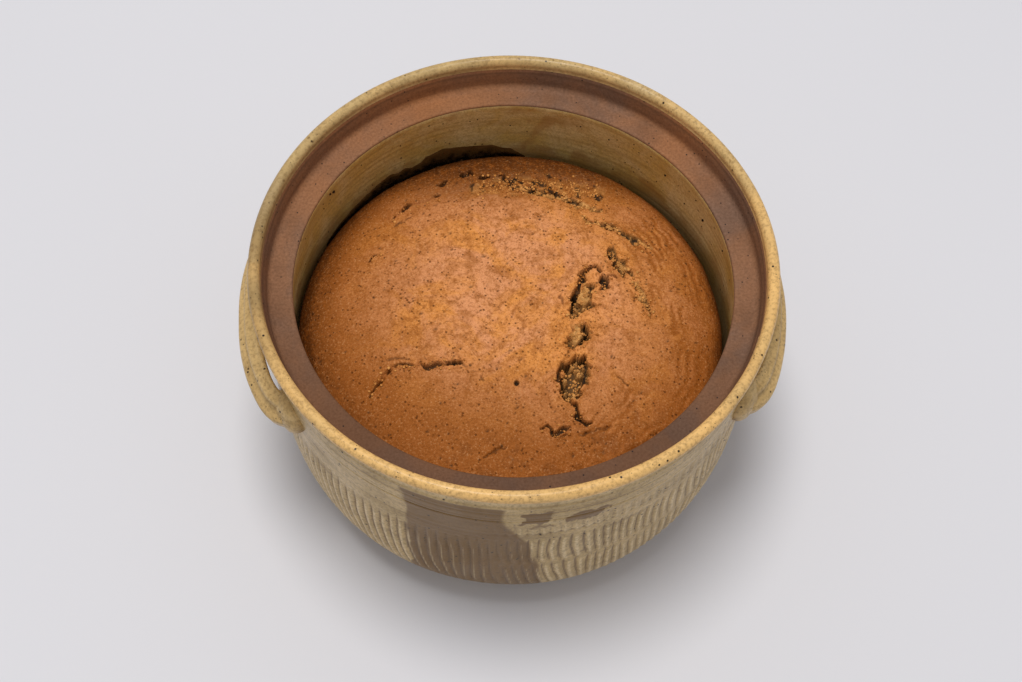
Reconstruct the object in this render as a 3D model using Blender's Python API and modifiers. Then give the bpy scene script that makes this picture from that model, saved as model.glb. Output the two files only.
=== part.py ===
"""A glazed stoneware casserole pot with two strap handles, and the apple pudding baked in it.

Two solids: "pot" is one fired piece, wall, rim, lid seat, foot ring and handles together, and
"pudding" is the baked pudding that fills it, risen to a low dome with a torn crack across it.
Metres, +Z up. The origin is the middle of the foot ring's underside, and the handles lie on the
X axis. Every outline is worked out from the driving dimensions below.
"""

import math

import bmesh
import bpy
from mathutils import Matrix, Vector

# Driving dimensions, in metres.
TOTAL_HEIGHT = 0.1416       # foot to the top of the rim bead
RIM_RADIUS = 0.120          # widest circle of the rim bead
BELLY_RADIUS = 0.1161       # widest circle of the wall
FOOT_RADIUS = 0.080         # outside of the foot ring
FOOT_HEIGHT = 0.005         # from the floor to the turned-under wall
FOOT_RING_WIDTH = 0.009
FLOOR_THICKNESS = 0.011
LEDGE_HEIGHT = 0.1248       # lid seat above the floor
LEDGE_INNER_RADIUS = 0.1014
LEDGE_OUTER_RADIUS = 0.1128
LIP_ROUNDING = 0.0012       # at the ledge's two edges
INNER_WALL_RADIUS = 0.1068  # widest circle of the hollow
INNER_CORNER = 0.028        # between the inner floor and the inner wall
BELLY_START_HEIGHT = 0.084  # above it the wall is nearly upright
BELLY_POWER = 3.6           # how squarely the wall turns under
NECK_RADIUS = 0.1169        # the plain collar under the bead
NECK_TOP_HEIGHT = 0.1340
NECK_STEP_HEIGHT = 0.1115   # shallow step under the collar

# Rim bead: an upright oval ring round the top of the gallery.
BEAD_HALF_WIDTH = 0.00275
BEAD_HALF_HEIGHT = 0.0030
BEAD_CENTRE_RADIUS = RIM_RADIUS - BEAD_HALF_WIDTH
BEAD_CENTRE_HEIGHT = TOTAL_HEIGHT - BEAD_HALF_HEIGHT

# Handles: a flat strap on edge, leaning in at the top, with its ends pressed on as pads.
STRAP_WIDTH = 0.019
STRAP_THICKNESS = 0.0052
STRAP_LEAN_DEG = 24.0
STRAP_HEIGHT = 0.107        # middle of the strap above the floor
STRAP_REACH = 0.1240        # strap's middle line from the pot's axis: it follows the wall round
STRAP_ROOT = 0.1105         # where the strap's ends run into the wall
STRAP_HALF_ANGLE_DEG = 30.0
STRAP_CORNER = 11.0         # powers of the rounded corner where the strap turns in to the wall
STRAP_SHOULDER = 2.3
STRAP_BENDS = 24
STRAP_RIDGE_DEPTH = 0.0008
STRAP_RIDGES = 2
PAD_ANGLE_DEG = 28.8        # pads either side of the handle's middle
PAD_RADII = (0.0065, 0.0102, 0.0130)
PAD_RADIUS_FROM_AXIS = 0.1170
PAD_HEIGHT = 0.104

# Pudding.
CLEARANCE = 0.0003          # between the pudding and the pot
CROWN_HEIGHT = 0.100        # top of the dome
SHOULDER_HEIGHT = 0.074     # where the dome's edge turns down
SHOULDER_RADIUS = 0.1026
TUCK_HEIGHT = 0.064         # where the side meets the wall again
DOME_FLATNESS = 3.0
DOME_EDGE = 2.2
CRACK_WIDTH = 0.0060

TURN_STEPS = 60             # sides of every turned shape


def ellipse_arc(centre, radii, start_deg, end_deg, steps):
    """Points along an arc of an upright ellipse, as (radius, height)."""
    points = []
    for i in range(steps + 1):
        angle = math.radians(start_deg + (end_deg - start_deg) * i / steps)
        points.append((centre[0] + radii[0] * math.cos(angle), centre[1] + radii[1] * math.sin(angle)))
    return points


def belly_points(steps):
    """The outer wall from under the neck to the foot: a tall rounded curve."""
    points = []
    for i in range(steps + 1):
        drop = math.sin(math.pi / 2 * i / steps)
        reach = (1.0 - drop ** BELLY_POWER) ** (1.0 / BELLY_POWER)
        radius = FOOT_RADIUS + (BELLY_RADIUS - FOOT_RADIUS) * reach
        points.append((radius, BELLY_START_HEIGHT + (FOOT_HEIGHT - BELLY_START_HEIGHT) * drop))
    return points


def hollow_points(offset=0.0):
    """The inner wall from the middle of the inner floor up to under the lid seat."""
    wall = INNER_WALL_RADIUS - offset
    corner_middle = (INNER_WALL_RADIUS - INNER_CORNER, FLOOR_THICKNESS + INNER_CORNER)
    corner_radius = INNER_CORNER - offset
    points = [(0.0, FLOOR_THICKNESS + offset)]
    points += ellipse_arc(corner_middle, (corner_radius, corner_radius), -90, 0, 6)
    points += [(wall, TUCK_HEIGHT), (wall - 0.0006, 0.085), (wall - 0.0024, 0.106)]
    return points


def pot_profile():
    """Half section: inner floor, inner wall, lid seat, rim bead, outer wall, foot."""
    lip = LIP_ROUNDING
    points = hollow_points()
    points += [(LEDGE_INNER_RADIUS + 0.0005, LEDGE_HEIGHT - 0.0045)]
    points += ellipse_arc((LEDGE_INNER_RADIUS + lip, LEDGE_HEIGHT - lip), (lip, lip), 180, 90, 2)
    points += ellipse_arc((LEDGE_OUTER_RADIUS - lip, LEDGE_HEIGHT + lip), (lip, lip), -90, 0, 2)
    points += ellipse_arc((BEAD_CENTRE_RADIUS, BEAD_CENTRE_HEIGHT), (BEAD_HALF_WIDTH, BEAD_HALF_HEIGHT),
                          195, -55, 8)
    step = 0.0004
    points += [(NECK_RADIUS, NECK_TOP_HEIGHT), (NECK_RADIUS, NECK_STEP_HEIGHT + 0.001),
               (NECK_RADIUS - step, NECK_STEP_HEIGHT - 0.001), (BELLY_RADIUS + step / 2, 0.099)]
    points += belly_points(11)
    ring_inner = FOOT_RADIUS - FOOT_RING_WIDTH
    recess = FOOT_HEIGHT - 0.001
    points += [(FOOT_RADIUS - step, 0.0), (ring_inner, 0.0), (ring_inner - recess / 2, recess), (0.0, recess)]
    return points


def pudding_profile():
    """Half section: crown, dome, rounded shoulder, tucked side, then the hollow's own shape."""
    rise = CROWN_HEIGHT - SHOULDER_HEIGHT
    points = []
    for fraction in (0.0, 0.2, 0.4, 0.58, 0.72, 0.83, 0.91, 0.965, 1.0):
        height = SHOULDER_HEIGHT + rise * (1.0 - fraction ** DOME_FLATNESS) ** (1.0 / DOME_EDGE)
        points.append((SHOULDER_RADIUS * fraction, height))
    points.append((SHOULDER_RADIUS + 0.0006, SHOULDER_HEIGHT - 0.006))
    lower = hollow_points(CLEARANCE)
    points += reversed(lower[:-2])
    return points


def new_collection(name):
    """A collection linked to the scene."""
    collection = bpy.data.collections.new(name)
    bpy.context.scene.collection.children.link(collection)
    return collection


def new_material(name, colour, roughness):
    """A Principled BSDF material of one colour."""
    material = bpy.data.materials.new(name)
    material.use_nodes = True
    shader = material.node_tree.nodes["Principled BSDF"]
    shader.inputs["Base Color"].default_value = (*colour, 1.0)
    shader.inputs["Roughness"].default_value = roughness
    shader.inputs["Metallic"].default_value = 0.0
    return material


def turned(name, profile, collection):
    """An object turned from a half section about the Z axis."""
    mesh = bpy.data.meshes.new(name)
    edges = [(i, i + 1) for i in range(len(profile) - 1)]
    mesh.from_pydata([(radius, 0.0, height) for radius, height in profile], edges, [])
    turned_object = bpy.data.objects.new(name, mesh)
    collection.objects.link(turned_object)
    screw = turned_object.modifiers.new("turn", "SCREW")
    screw.axis = "Z"
    screw.angle = 2.0 * math.pi
    screw.steps = TURN_STEPS
    screw.render_steps = TURN_STEPS
    screw.use_merge_vertices = True
    screw.merge_threshold = 0.00001
    screw.use_smooth_shade = True
    return turned_object


def as_mesh(source):
    """Replace a curve by its welded mesh, in place."""
    bpy.context.view_layer.update()
    evaluated = source.evaluated_get(bpy.context.evaluated_depsgraph_get())
    mesh = bpy.data.meshes.new_from_object(evaluated)
    name = source.name
    matrix = source.matrix_world.copy()
    collection = source.users_collection[0]
    bpy.data.objects.remove(source)
    work = bmesh.new()
    work.from_mesh(mesh)
    bmesh.ops.remove_doubles(work, verts=work.verts, dist=0.00001)
    bmesh.ops.recalc_face_normals(work, faces=work.faces)
    work.to_mesh(mesh)
    work.free()
    solid = bpy.data.objects.new(name, mesh)
    solid.matrix_world = matrix
    collection.objects.link(solid)
    return solid


def as_guide(helper):
    """Mark a cutter or an added shape that isn't a part of its own."""
    helper.hide_render = True
    helper.display_type = "WIRE"


def poly_curve(name, points, collection, closed=False):
    """A straight-segment curve through the points."""
    data = bpy.data.curves.new(name, "CURVE")
    data.dimensions = "3D"
    data.twist_mode = "Z_UP"
    spline = data.splines.new("POLY")
    spline.points.add(len(points) - 1)
    for target, point in zip(spline.points, points):
        target.co = (*point, 1.0)
    spline.use_cyclic_u = closed
    curve = bpy.data.objects.new(name, data)
    collection.objects.link(curve)
    return curve


def strap_section(collection):
    """The strap's cross-section: a thin upright oval with shallow ridges on its outer face."""
    lean = math.radians(STRAP_LEAN_DEG)
    points = []
    steps = 7
    for i in range(steps):
        along = -1.0 + 2.0 * (i + 0.5) / steps
        bulge = math.sqrt(1.0 - abs(along) ** 4)
        ridge = -STRAP_RIDGE_DEPTH * math.cos(STRAP_RIDGES * math.pi * along)
        points.append((along * STRAP_WIDTH / 2, bulge * STRAP_THICKNESS / 2 + ridge))
    for along in (0.86, 0.4, -0.4, -0.86):
        points.append((along * STRAP_WIDTH / 2, -math.sqrt(1.0 - along ** 4) * STRAP_THICKNESS / 2))
    leaning = []
    for up, out in points:
        leaning.append((out * math.cos(lean) - up * math.sin(lean), out * math.sin(lean) + up * math.cos(lean), 0.0))
    return poly_curve("strap_section", leaning, collection, closed=True)


def strap_path():
    """The strap's middle line for the +X handle, from one root in the wall to the other."""
    points = []
    for i in range(STRAP_BENDS + 1):
        share = math.sin(math.radians(-90.0 + 180.0 * i / STRAP_BENDS))
        angle = math.radians(STRAP_HALF_ANGLE_DEG) * share
        reach = (1.0 - min(1.0, abs(share)) ** STRAP_CORNER) ** (1.0 / STRAP_SHOULDER)
        radius = STRAP_ROOT + (STRAP_REACH - STRAP_ROOT) * reach
        points.append((radius * math.cos(angle), radius * math.sin(angle), STRAP_HEIGHT))
    return points


def handle_shapes(collection):
    """The strap and the two pads of the +X handle, as closed meshes."""
    section = strap_section(collection)
    strap = poly_curve("strap", strap_path(), collection)
    strap.data.bevel_mode = "OBJECT"
    strap.data.bevel_object = section
    strap.data.use_fill_caps = True
    shapes = [as_mesh(strap)]
    bpy.data.objects.remove(section)
    for side in (-1, 1):
        angle = math.radians(side * PAD_ANGLE_DEG)
        mesh = bpy.data.meshes.new("pad")
        work = bmesh.new()
        bmesh.ops.create_uvsphere(work, u_segments=12, v_segments=8, radius=1.0)
        bmesh.ops.scale(work, vec=PAD_RADII, verts=work.verts)
        bmesh.ops.rotate(work, cent=(0, 0, 0), matrix=Matrix.Rotation(angle, 3, "Z"), verts=work.verts)
        middle = Vector((PAD_RADIUS_FROM_AXIS * math.cos(angle), PAD_RADIUS_FROM_AXIS * math.sin(angle), PAD_HEIGHT))
        bmesh.ops.translate(work, vec=middle, verts=work.verts)
        work.to_mesh(mesh)
        work.free()
        pad = bpy.data.objects.new("pad", mesh)
        collection.objects.link(pad)
        shapes.append(pad)
    return shapes


def join_handles(pot, collection):
    """Join both handles to the pot: the -X handle is the +X handle turned half round."""
    for turn in (0.0, math.pi):
        for shape in handle_shapes(collection):
            shape.matrix_world = Matrix.Rotation(turn, 4, "Z") @ shape.matrix_world
            as_guide(shape)
            union = pot.modifiers.new("join", "BOOLEAN")
            union.operation = "UNION"
            union.solver = "EXACT"
            union.object = shape


def dome_height(x, y):
    """Height of the pudding's dome at a place."""
    fraction = min(1.0, math.hypot(x, y) / SHOULDER_RADIUS)
    rise = CROWN_HEIGHT - SHOULDER_HEIGHT
    return SHOULDER_HEIGHT + rise * (1.0 - fraction ** DOME_FLATNESS) ** (1.0 / DOME_EDGE)


def crack_cutter(name, route, width, collection):
    """A lens-shaped cutter that follows a crack over the dome and thins out at its ends."""
    points = [(x, y, dome_height(x, y)) for x, y in route]
    curve = poly_curve(name, points, collection)
    curve.data.bevel_depth = width / 2
    curve.data.bevel_resolution = 1
    curve.data.use_fill_caps = True
    last = len(points) - 1
    for i, point in enumerate(curve.data.splines[0].points):
        point.radius = 0.35 + 0.65 * math.sin(math.pi * (i + 0.6) / (last + 1.2))
    cutter = as_mesh(curve)
    as_guide(cutter)
    return cutter


def cut_cracks(pudding, collection):
    """The torn crack down the dome, its upper branch and the split along the far edge."""
    routes = {
        "torn_crack": [(0.037, 0.019), (0.032, 0.000), (0.028, -0.018), (0.031, -0.028), (0.024, -0.038),
                       (0.023, -0.048), (0.029, -0.060)],
        "far_split": [(-0.041, 0.076), (-0.028, 0.083), (-0.010, 0.078), (0.008, 0.073), (0.030, 0.065),
                      (0.046, 0.057)],
        "near_split": [(-0.067, -0.045), (-0.060, -0.035), (-0.048, -0.031), (-0.025, -0.030)],
    }
    for name, route in routes.items():
        width = CRACK_WIDTH if name == "torn_crack" else CRACK_WIDTH / 2
        cut = pudding.modifiers.new(name, "BOOLEAN")
        cut.operation = "DIFFERENCE"
        cut.solver = "EXACT"
        cut.object = crack_cutter(name, route, width, collection)


def main():
    """Build the pot and the pudding."""
    for old in list(bpy.data.objects):
        bpy.data.objects.remove(old)
    parts = new_collection("apple_pudding")
    helpers = new_collection("helpers")

    pot = turned("pot", pot_profile(), parts)
    pot.data.materials.append(new_material("stoneware_glaze", (0.42, 0.33, 0.19), 0.32))
    join_handles(pot, helpers)

    pudding = turned("pudding", pudding_profile(), parts)
    pudding.data.materials.append(new_material("baked_crust", (0.40, 0.17, 0.055), 0.60))
    cut_cracks(pudding, helpers)


main()
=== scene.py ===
"""The looks of an apple pudding baked in a glazed stoneware casserole pot.

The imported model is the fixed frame: it gives the pot and the pudding as two plain solids, with the
origin in the middle of the foot ring's underside, +Z up, the two handles on the X axis and -Y
towards the viewer. Finished pieces stand in place of both solids: the wall with its chattered
strokes, the rim with the lid seat and the lining, the strap handles, and the cracked crust with its
torn crumb, burnt juice and crumbs. All sizes are metres.
"""

import logging
import math
from dataclasses import dataclass, field
from enum import Enum
from typing import Sequence

import bmesh
import bpy
import numpy as np
from mathutils import Matrix, Vector


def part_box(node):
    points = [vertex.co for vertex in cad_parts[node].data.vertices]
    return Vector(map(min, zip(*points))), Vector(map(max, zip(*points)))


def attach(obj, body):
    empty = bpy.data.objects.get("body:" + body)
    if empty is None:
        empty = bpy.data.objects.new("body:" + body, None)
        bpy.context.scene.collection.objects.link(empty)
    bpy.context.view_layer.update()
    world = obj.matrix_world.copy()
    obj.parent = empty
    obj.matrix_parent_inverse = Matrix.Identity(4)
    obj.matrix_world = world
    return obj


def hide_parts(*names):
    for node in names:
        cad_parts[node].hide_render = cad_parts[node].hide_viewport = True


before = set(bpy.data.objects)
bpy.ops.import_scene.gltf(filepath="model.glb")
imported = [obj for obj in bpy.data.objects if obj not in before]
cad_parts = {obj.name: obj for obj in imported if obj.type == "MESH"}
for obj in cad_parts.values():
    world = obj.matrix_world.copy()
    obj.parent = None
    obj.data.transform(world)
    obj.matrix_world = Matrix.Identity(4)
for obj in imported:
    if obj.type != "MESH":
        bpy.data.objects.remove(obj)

LOG = logging.getLogger("apple_pudding")

Array = np.ndarray
Colour = tuple[float, float, float]
Outline = list[tuple[float, float]]
Socket = bpy.types.NodeSocket

MM = 0.001


# ---------------------------------------------------------------------------------------------
# Numbers: smooth noise, steps and outlines
# ---------------------------------------------------------------------------------------------


class Wander:
    """Smooth seeded noise in space, worked out for many points at once."""

    def __init__(self, seed: int, cells: int = 32) -> None:
        """Fill a lattice that repeats every `cells` steps.

        Args:
            seed: start of the random draws.
            cells: steps along each side of the lattice, a power of two.
        """
        self.cells = cells
        self.lattice = np.random.default_rng(seed).uniform(-1.0, 1.0, (cells, cells, cells))

    def at(self, points: Array, size: float) -> Array:
        """Noise from -1 to 1 whose bumps are about `size` across.

        Args:
            points: places, one row each.
            size: width of a bump in metres.

        Returns:
            One value for each place.
        """
        place = points / size + 7.3
        low = np.floor(place).astype(int)
        part = place - low
        part = part * part * (3.0 - 2.0 * part)
        total = np.zeros(len(points))
        for corner in range(8):
            step = np.array([corner & 1, corner >> 1 & 1, corner >> 2 & 1])
            cell = (low + step) & (self.cells - 1)
            weight = np.prod(np.where(step, part, 1.0 - part), axis=1)
            total += weight * self.lattice[cell[:, 0], cell[:, 1], cell[:, 2]]
        return total

    def layered(self, points: Array, size: float, layers: int) -> Array:
        """Noise summed over layers, each half as wide and half as strong as the last.

        Args:
            points: places, one row each.
            size: width of the widest layer's bumps in metres.
            layers: how many layers are summed.

        Returns:
            One value for each place.
        """
        total = np.zeros(len(points))
        for layer in range(layers):
            total += self.at(points + 0.37 * layer, size / 2 ** layer) / 2 ** layer
        return total


def ease(low: float, high: float, value: Array) -> Array:
    """Smooth step from 0 at `low` to 1 at `high`, which may be the smaller one."""
    part = np.clip((value - low) / (high - low), 0.0, 1.0)
    return part * part * (3.0 - 2.0 * part)


def between(low: float, high: float, soft: float, value: Array) -> Array:
    """1 inside the range and 0 outside it, with soft ends."""
    return ease(low - soft, low + soft, value) * ease(high + soft, high - soft, value)


def arc(centre: tuple[float, float], radii: tuple[float, float], start: float, end: float,
        steps: int) -> Outline:
    """Points along an upright ellipse's arc.

    Args:
        centre: middle of the ellipse, as (radius, height).
        radii: its half width and half height.
        start: first angle in degrees.
        end: last angle in degrees.
        steps: pieces between the first point and the last.

    Returns:
        The points as (radius, height).
    """
    points = []
    for i in range(steps + 1):
        angle = math.radians(start + (end - start) * i / steps)
        points.append((centre[0] + radii[0] * math.cos(angle), centre[1] + radii[1] * math.sin(angle)))
    return points


def walked(points: Outline, step: float) -> Outline:
    """Even out an outline's points, its ends kept.

    Args:
        points: the outline's corners.
        step: about how far apart the new points lie.

    Returns:
        The same outline with evenly spread points.
    """
    path = np.array(points)
    runs = np.hypot(*np.diff(path, axis=0).T)
    along = np.concatenate([[0.0], np.cumsum(runs)])
    count = max(2, round(along[-1] / step) + 1)
    marks = np.linspace(0.0, along[-1], count)
    return list(zip(np.interp(marks, along, path[:, 0]), np.interp(marks, along, path[:, 1])))


def distance_to_route(points: Array, route: Sequence[tuple[float, float]]) -> tuple[Array, Array]:
    """How far each place is from a route seen from above, and how far along the route it is.

    Args:
        points: places; only x and y are read.
        route: the corners of the route.

    Returns:
        The distances in metres, and the fractions from 0 at the start to 1 at the end.
    """
    corners = np.array(route)
    runs = np.hypot(*np.diff(corners, axis=0).T)
    starts = np.concatenate([[0.0], np.cumsum(runs)])
    best = np.full(len(points), 1e9)
    along = np.zeros(len(points))
    for i, run in enumerate(runs):
        a, b = corners[i], corners[i + 1]
        part = np.clip(((points[:, :2] - a) @ (b - a)) / run ** 2, 0.0, 1.0)
        away = np.hypot(*(points[:, :2] - a - part[:, None] * (b - a)).T)
        nearer = away < best
        best = np.where(nearer, away, best)
        along = np.where(nearer, (starts[i] + part * run) / starts[-1], along)
    return best, along


# ---------------------------------------------------------------------------------------------
# Meshes
# ---------------------------------------------------------------------------------------------


def coords_of(mesh: bpy.types.Mesh) -> Array:
    """The mesh's vertex places, one row each."""
    flat = np.empty(len(mesh.vertices) * 3, np.float32)
    mesh.vertices.foreach_get("co", flat)
    return flat.reshape(-1, 3).astype(float)


def normals_of(mesh: bpy.types.Mesh) -> Array:
    """The mesh's vertex normals, one row each."""
    flat = np.empty(len(mesh.vertices) * 3, np.float32)
    mesh.vertices.foreach_get("normal", flat)
    return flat.reshape(-1, 3).astype(float)


def move_to(mesh: bpy.types.Mesh, coords: Array) -> None:
    """Put the mesh's vertices at new places."""
    mesh.vertices.foreach_set("co", coords.astype(np.float32).ravel())
    mesh.update()


def mark(mesh: bpy.types.Mesh, name: str, values: Array) -> None:
    """Store one number for each vertex, which a finish reads by its name."""
    layer = mesh.attributes.new(name, "FLOAT", "POINT")
    layer.data.foreach_set("value", np.clip(values, 0.0, 1.0).astype(np.float32))


def face_middles(mesh: bpy.types.Mesh) -> Array:
    """The middles of the mesh's faces, one row each."""
    flat = np.empty(len(mesh.polygons) * 3, np.float32)
    mesh.polygons.foreach_get("center", flat)
    return flat.reshape(-1, 3).astype(float)


def dress_faces(mesh: bpy.types.Mesh, indices: Array) -> None:
    """Give each face the material with that index."""
    mesh.polygons.foreach_set("material_index", indices.astype(np.int32))
    mesh.update()


def piece_from(name: str, work: bmesh.types.BMesh) -> bpy.types.Object:
    """Turn a finished bmesh into a smoothly shaded object at the origin, and free the bmesh.

    Args:
        name: the piece's name.
        work: the bmesh.

    Returns:
        The new object, linked to the scene.
    """
    mesh = bpy.data.meshes.new(name)
    work.to_mesh(mesh)
    work.free()
    mesh.shade_smooth()
    made = bpy.data.objects.new(name, mesh)
    bpy.context.scene.collection.objects.link(made)
    return made


def turned(name: str, outline: Outline, steps: int, wedges: int = 22) -> bpy.types.Object:
    """A closed body turned about the Z axis, as equal wedges set side by side and welded.

    Args:
        name: the piece's name.
        outline: half section as (radius, height), with both ends on the axis.
        steps: sides of the turned shape, a multiple of the wedges.
        wedges: how many wedges the full turn is made from.

    Returns:
        The turned object, with its normals outwards.
    """
    share = 2.0 * math.pi / wedges
    work = bmesh.new()
    corners = [work.verts.new((radius, 0.0, height)) for radius, height in outline]
    edges = [work.edges.new(pair) for pair in zip(corners, corners[1:])]
    bmesh.ops.spin(work, geom=corners + edges, cent=(0, 0, 0), axis=(0, 0, 1), angle=share,
                   steps=steps // wedges)
    wedge = bpy.data.meshes.new("wedge")
    work.to_mesh(wedge)
    work.free()
    whole = bmesh.new()
    for _ in range(wedges):
        whole.from_mesh(wedge)
        wedge.transform(Matrix.Rotation(share, 4, "Z"))
    bpy.data.meshes.remove(wedge)
    bmesh.ops.remove_doubles(whole, verts=whole.verts, dist=0.01 * MM)
    bmesh.ops.recalc_face_normals(whole, faces=whole.faces)
    return piece_from(name, whole)


def swept(name: str, ring: Outline, stations: Sequence[Matrix]) -> bpy.types.Object:
    """A closed body made by extruding a flat ring from station to station.

    Args:
        name: the piece's name.
        ring: the section's corners in its own plane.
        stations: where the section stands at each step.

    Returns:
        The swept object with both ends capped.
    """
    work = bmesh.new()
    corners = [work.verts.new((across, up, 0.0)) for across, up in ring]
    edges = [work.edges.new(pair) for pair in zip(corners, corners[1:] + corners[:1])]
    bmesh.ops.contextual_create(work, geom=edges)
    bmesh.ops.transform(work, matrix=stations[0], verts=corners)
    loop = edges
    for before, after in zip(stations, stations[1:]):
        grown = bmesh.ops.extrude_edge_only(work, edges=loop)["geom"]
        fresh = [part for part in grown if isinstance(part, bmesh.types.BMVert)]
        loop = [part for part in grown if isinstance(part, bmesh.types.BMEdge) and part.is_boundary]
        bmesh.ops.transform(work, matrix=after @ before.inverted(), verts=fresh)
    bmesh.ops.contextual_create(work, geom=loop)
    bmesh.ops.recalc_face_normals(work, faces=work.faces)
    return piece_from(name, work)


def grains(name: str, places: Array, sizes: Array, seed: int, rounds: int = 1,
           flatness: float = 0.8) -> bpy.types.Object:
    """Many small lumps joined in one mesh, each a squashed and dented ball.

    Args:
        name: the piece's name.
        places: the lumps' middles, one row each.
        sizes: the lumps' radii.
        seed: start of the random draws for turns and dents.
        rounds: subdivisions of each ball.
        flatness: height of a lump as a share of its width.

    Returns:
        The joined object.
    """
    draw = np.random.default_rng(seed)
    whole = bmesh.new()
    for place, size in zip(places, sizes):
        work = bmesh.new()
        made = bmesh.ops.create_icosphere(work, subdivisions=rounds, radius=size)["verts"]
        dents = draw.uniform(0.72, 1.18, len(made))
        for vertex, dent in zip(made, dents):
            vertex.co *= dent
        angle = draw.uniform(0.0, 2.0 * math.pi)
        turn = Matrix.Rotation(angle, 4, Vector(draw.normal(size=3)).normalized())
        squash = Matrix.Diagonal((1.0, 1.0, flatness, 1.0))
        bmesh.ops.transform(work, matrix=Matrix.Translation(place) @ squash @ turn, verts=made)
        lump = bpy.data.meshes.new("lump")
        work.to_mesh(lump)
        work.free()
        whole.from_mesh(lump)
        bpy.data.meshes.remove(lump)
    return piece_from(name, whole)


# ---------------------------------------------------------------------------------------------
# Finishes
# ---------------------------------------------------------------------------------------------


class Desk:
    """A material's node tree with short calls for the nodes that the finishes share."""

    def __init__(self, name: str) -> None:
        """Start a material with only its output and its Principled shader.

        Args:
            name: the material's name.
        """
        self.material = bpy.data.materials.new(name)
        self.material.use_nodes = True
        self.tree = self.material.node_tree
        self.shader = self.tree.nodes["Principled BSDF"]
        self.place = self.tree.nodes.new("ShaderNodeTexCoord").outputs["Object"]

    def link(self, source: Socket, target: Socket) -> None:
        """Join two sockets."""
        self.tree.links.new(source, target)

    def feed(self, target: Socket, value: "Socket | float | Colour") -> None:
        """Link a socket, or set its own number or colour.

        Args:
            target: the input to feed.
            value: another node's output, a number or a colour.
        """
        if isinstance(value, bpy.types.NodeSocket):
            self.link(value, target)
        elif isinstance(value, tuple):
            target.default_value = (*value, 1.0)
        else:
            target.default_value = value

    def mapped(self, scale: tuple[float, float, float]) -> Socket:
        """Object coordinates stretched along each axis.

        Args:
            scale: the stretch along X, Y and Z.

        Returns:
            The stretched coordinates.
        """
        node = self.tree.nodes.new("ShaderNodeMapping")
        node.inputs["Scale"].default_value = scale
        self.link(self.place, node.inputs["Vector"])
        return node.outputs["Vector"]

    def noise(self, size: float, detail: float = 4.0, rough: float = 0.55, warp: float = 0.0,
              place: "Socket | None" = None) -> Socket:
        """Noise from 0 to 1.

        Args:
            size: about how wide its features are, in metres.
            detail: layers of finer noise.
            rough: strength of the finer layers.
            warp: how far the noise is bent out of shape.
            place: coordinates to read in place of the object's own.

        Returns:
            The noise.
        """
        node = self.tree.nodes.new("ShaderNodeTexNoise")
        node.inputs["Scale"].default_value = 1.0 / size
        node.inputs["Detail"].default_value = detail
        node.inputs["Roughness"].default_value = rough
        node.inputs["Distortion"].default_value = warp
        self.link(place or self.place, node.inputs["Vector"])
        return node.outputs["Fac"]

    def cells(self, size: float, feature: str = "F1") -> Socket:
        """Distance pattern of cells.

        Args:
            size: about how wide the cells are, in metres.
            feature: which distance is measured.

        Returns:
            The distance as a share of a cell.
        """
        node = self.tree.nodes.new("ShaderNodeTexVoronoi")
        node.feature = feature
        node.inputs["Scale"].default_value = 1.0 / size
        self.link(self.place, node.inputs["Vector"])
        return node.outputs["Distance"]

    def value(self, name: str) -> Socket:
        """A number stored on the piece's vertices."""
        node = self.tree.nodes.new("ShaderNodeAttribute")
        node.attribute_name = name
        return node.outputs["Fac"]

    def span(self, source: "Socket | float", low: float, high: float, out_low: float = 0.0,
             out_high: float = 1.0) -> Socket:
        """Stretch a range of values over another, smoothly and clamped.

        Args:
            source: the value.
            low: where the range starts; it may be the larger end.
            high: where it ends.
            out_low: result at the start.
            out_high: result at the end.

        Returns:
            The stretched value.
        """
        node = self.tree.nodes.new("ShaderNodeMapRange")
        node.interpolation_type = "SMOOTHSTEP"
        self.feed(node.inputs["Value"], source)
        node.inputs["From Min"].default_value = low
        node.inputs["From Max"].default_value = high
        node.inputs["To Min"].default_value = out_low
        node.inputs["To Max"].default_value = out_high
        return node.outputs["Result"]

    def sums(self, operation: str, first: "Socket | float", second: "Socket | float" = 0.0) -> Socket:
        """One arithmetic step.

        Args:
            operation: the step's name.
            first: its first value.
            second: its second value.

        Returns:
            The result.
        """
        node = self.tree.nodes.new("ShaderNodeMath")
        node.operation = operation
        self.feed(node.inputs[0], first)
        self.feed(node.inputs[1], second)
        return node.outputs[0]

    def mix(self, share: "Socket | float", first: "Socket | Colour", second: "Socket | Colour") -> Socket:
        """Mix two colours.

        Args:
            share: how much of the second colour there is.
            first: one colour.
            second: the other.

        Returns:
            The mixed colour.
        """
        node = self.tree.nodes.new("ShaderNodeMix")
        node.data_type = "RGBA"
        self.feed(node.inputs[0], share)
        self.feed(node.inputs[6], first)
        self.feed(node.inputs[7], second)
        return node.outputs[2]

    def finish(self, colour: "Socket | Colour", rough: "Socket | float", height: "Socket | None" = None,
               depth: float = 0.3 * MM, coat: float = 0.0, coat_rough: float = 0.1,
               shine: float = 0.22) -> bpy.types.Material:
        """Feed the shader and return the material.

        Args:
            colour: base colour.
            rough: roughness.
            height: bump height from 0 to 1.
            depth: how deep the bump is, in metres.
            coat: weight of a clear coat.
            coat_rough: roughness of the coat.
            shine: strength of the plain reflection.

        Returns:
            The finished material.
        """
        self.feed(self.shader.inputs["Base Color"], colour)
        self.feed(self.shader.inputs["Roughness"], rough)
        self.shader.inputs["Specular IOR Level"].default_value = shine
        self.shader.inputs["Coat Weight"].default_value = coat
        self.shader.inputs["Coat Roughness"].default_value = coat_rough
        if height is not None:
            bump = self.tree.nodes.new("ShaderNodeBump")
            bump.inputs["Strength"].default_value = 1.0
            bump.inputs["Distance"].default_value = depth
            self.link(height, bump.inputs["Height"])
            self.link(bump.outputs["Normal"], self.shader.inputs["Normal"])
        return self.material


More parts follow.
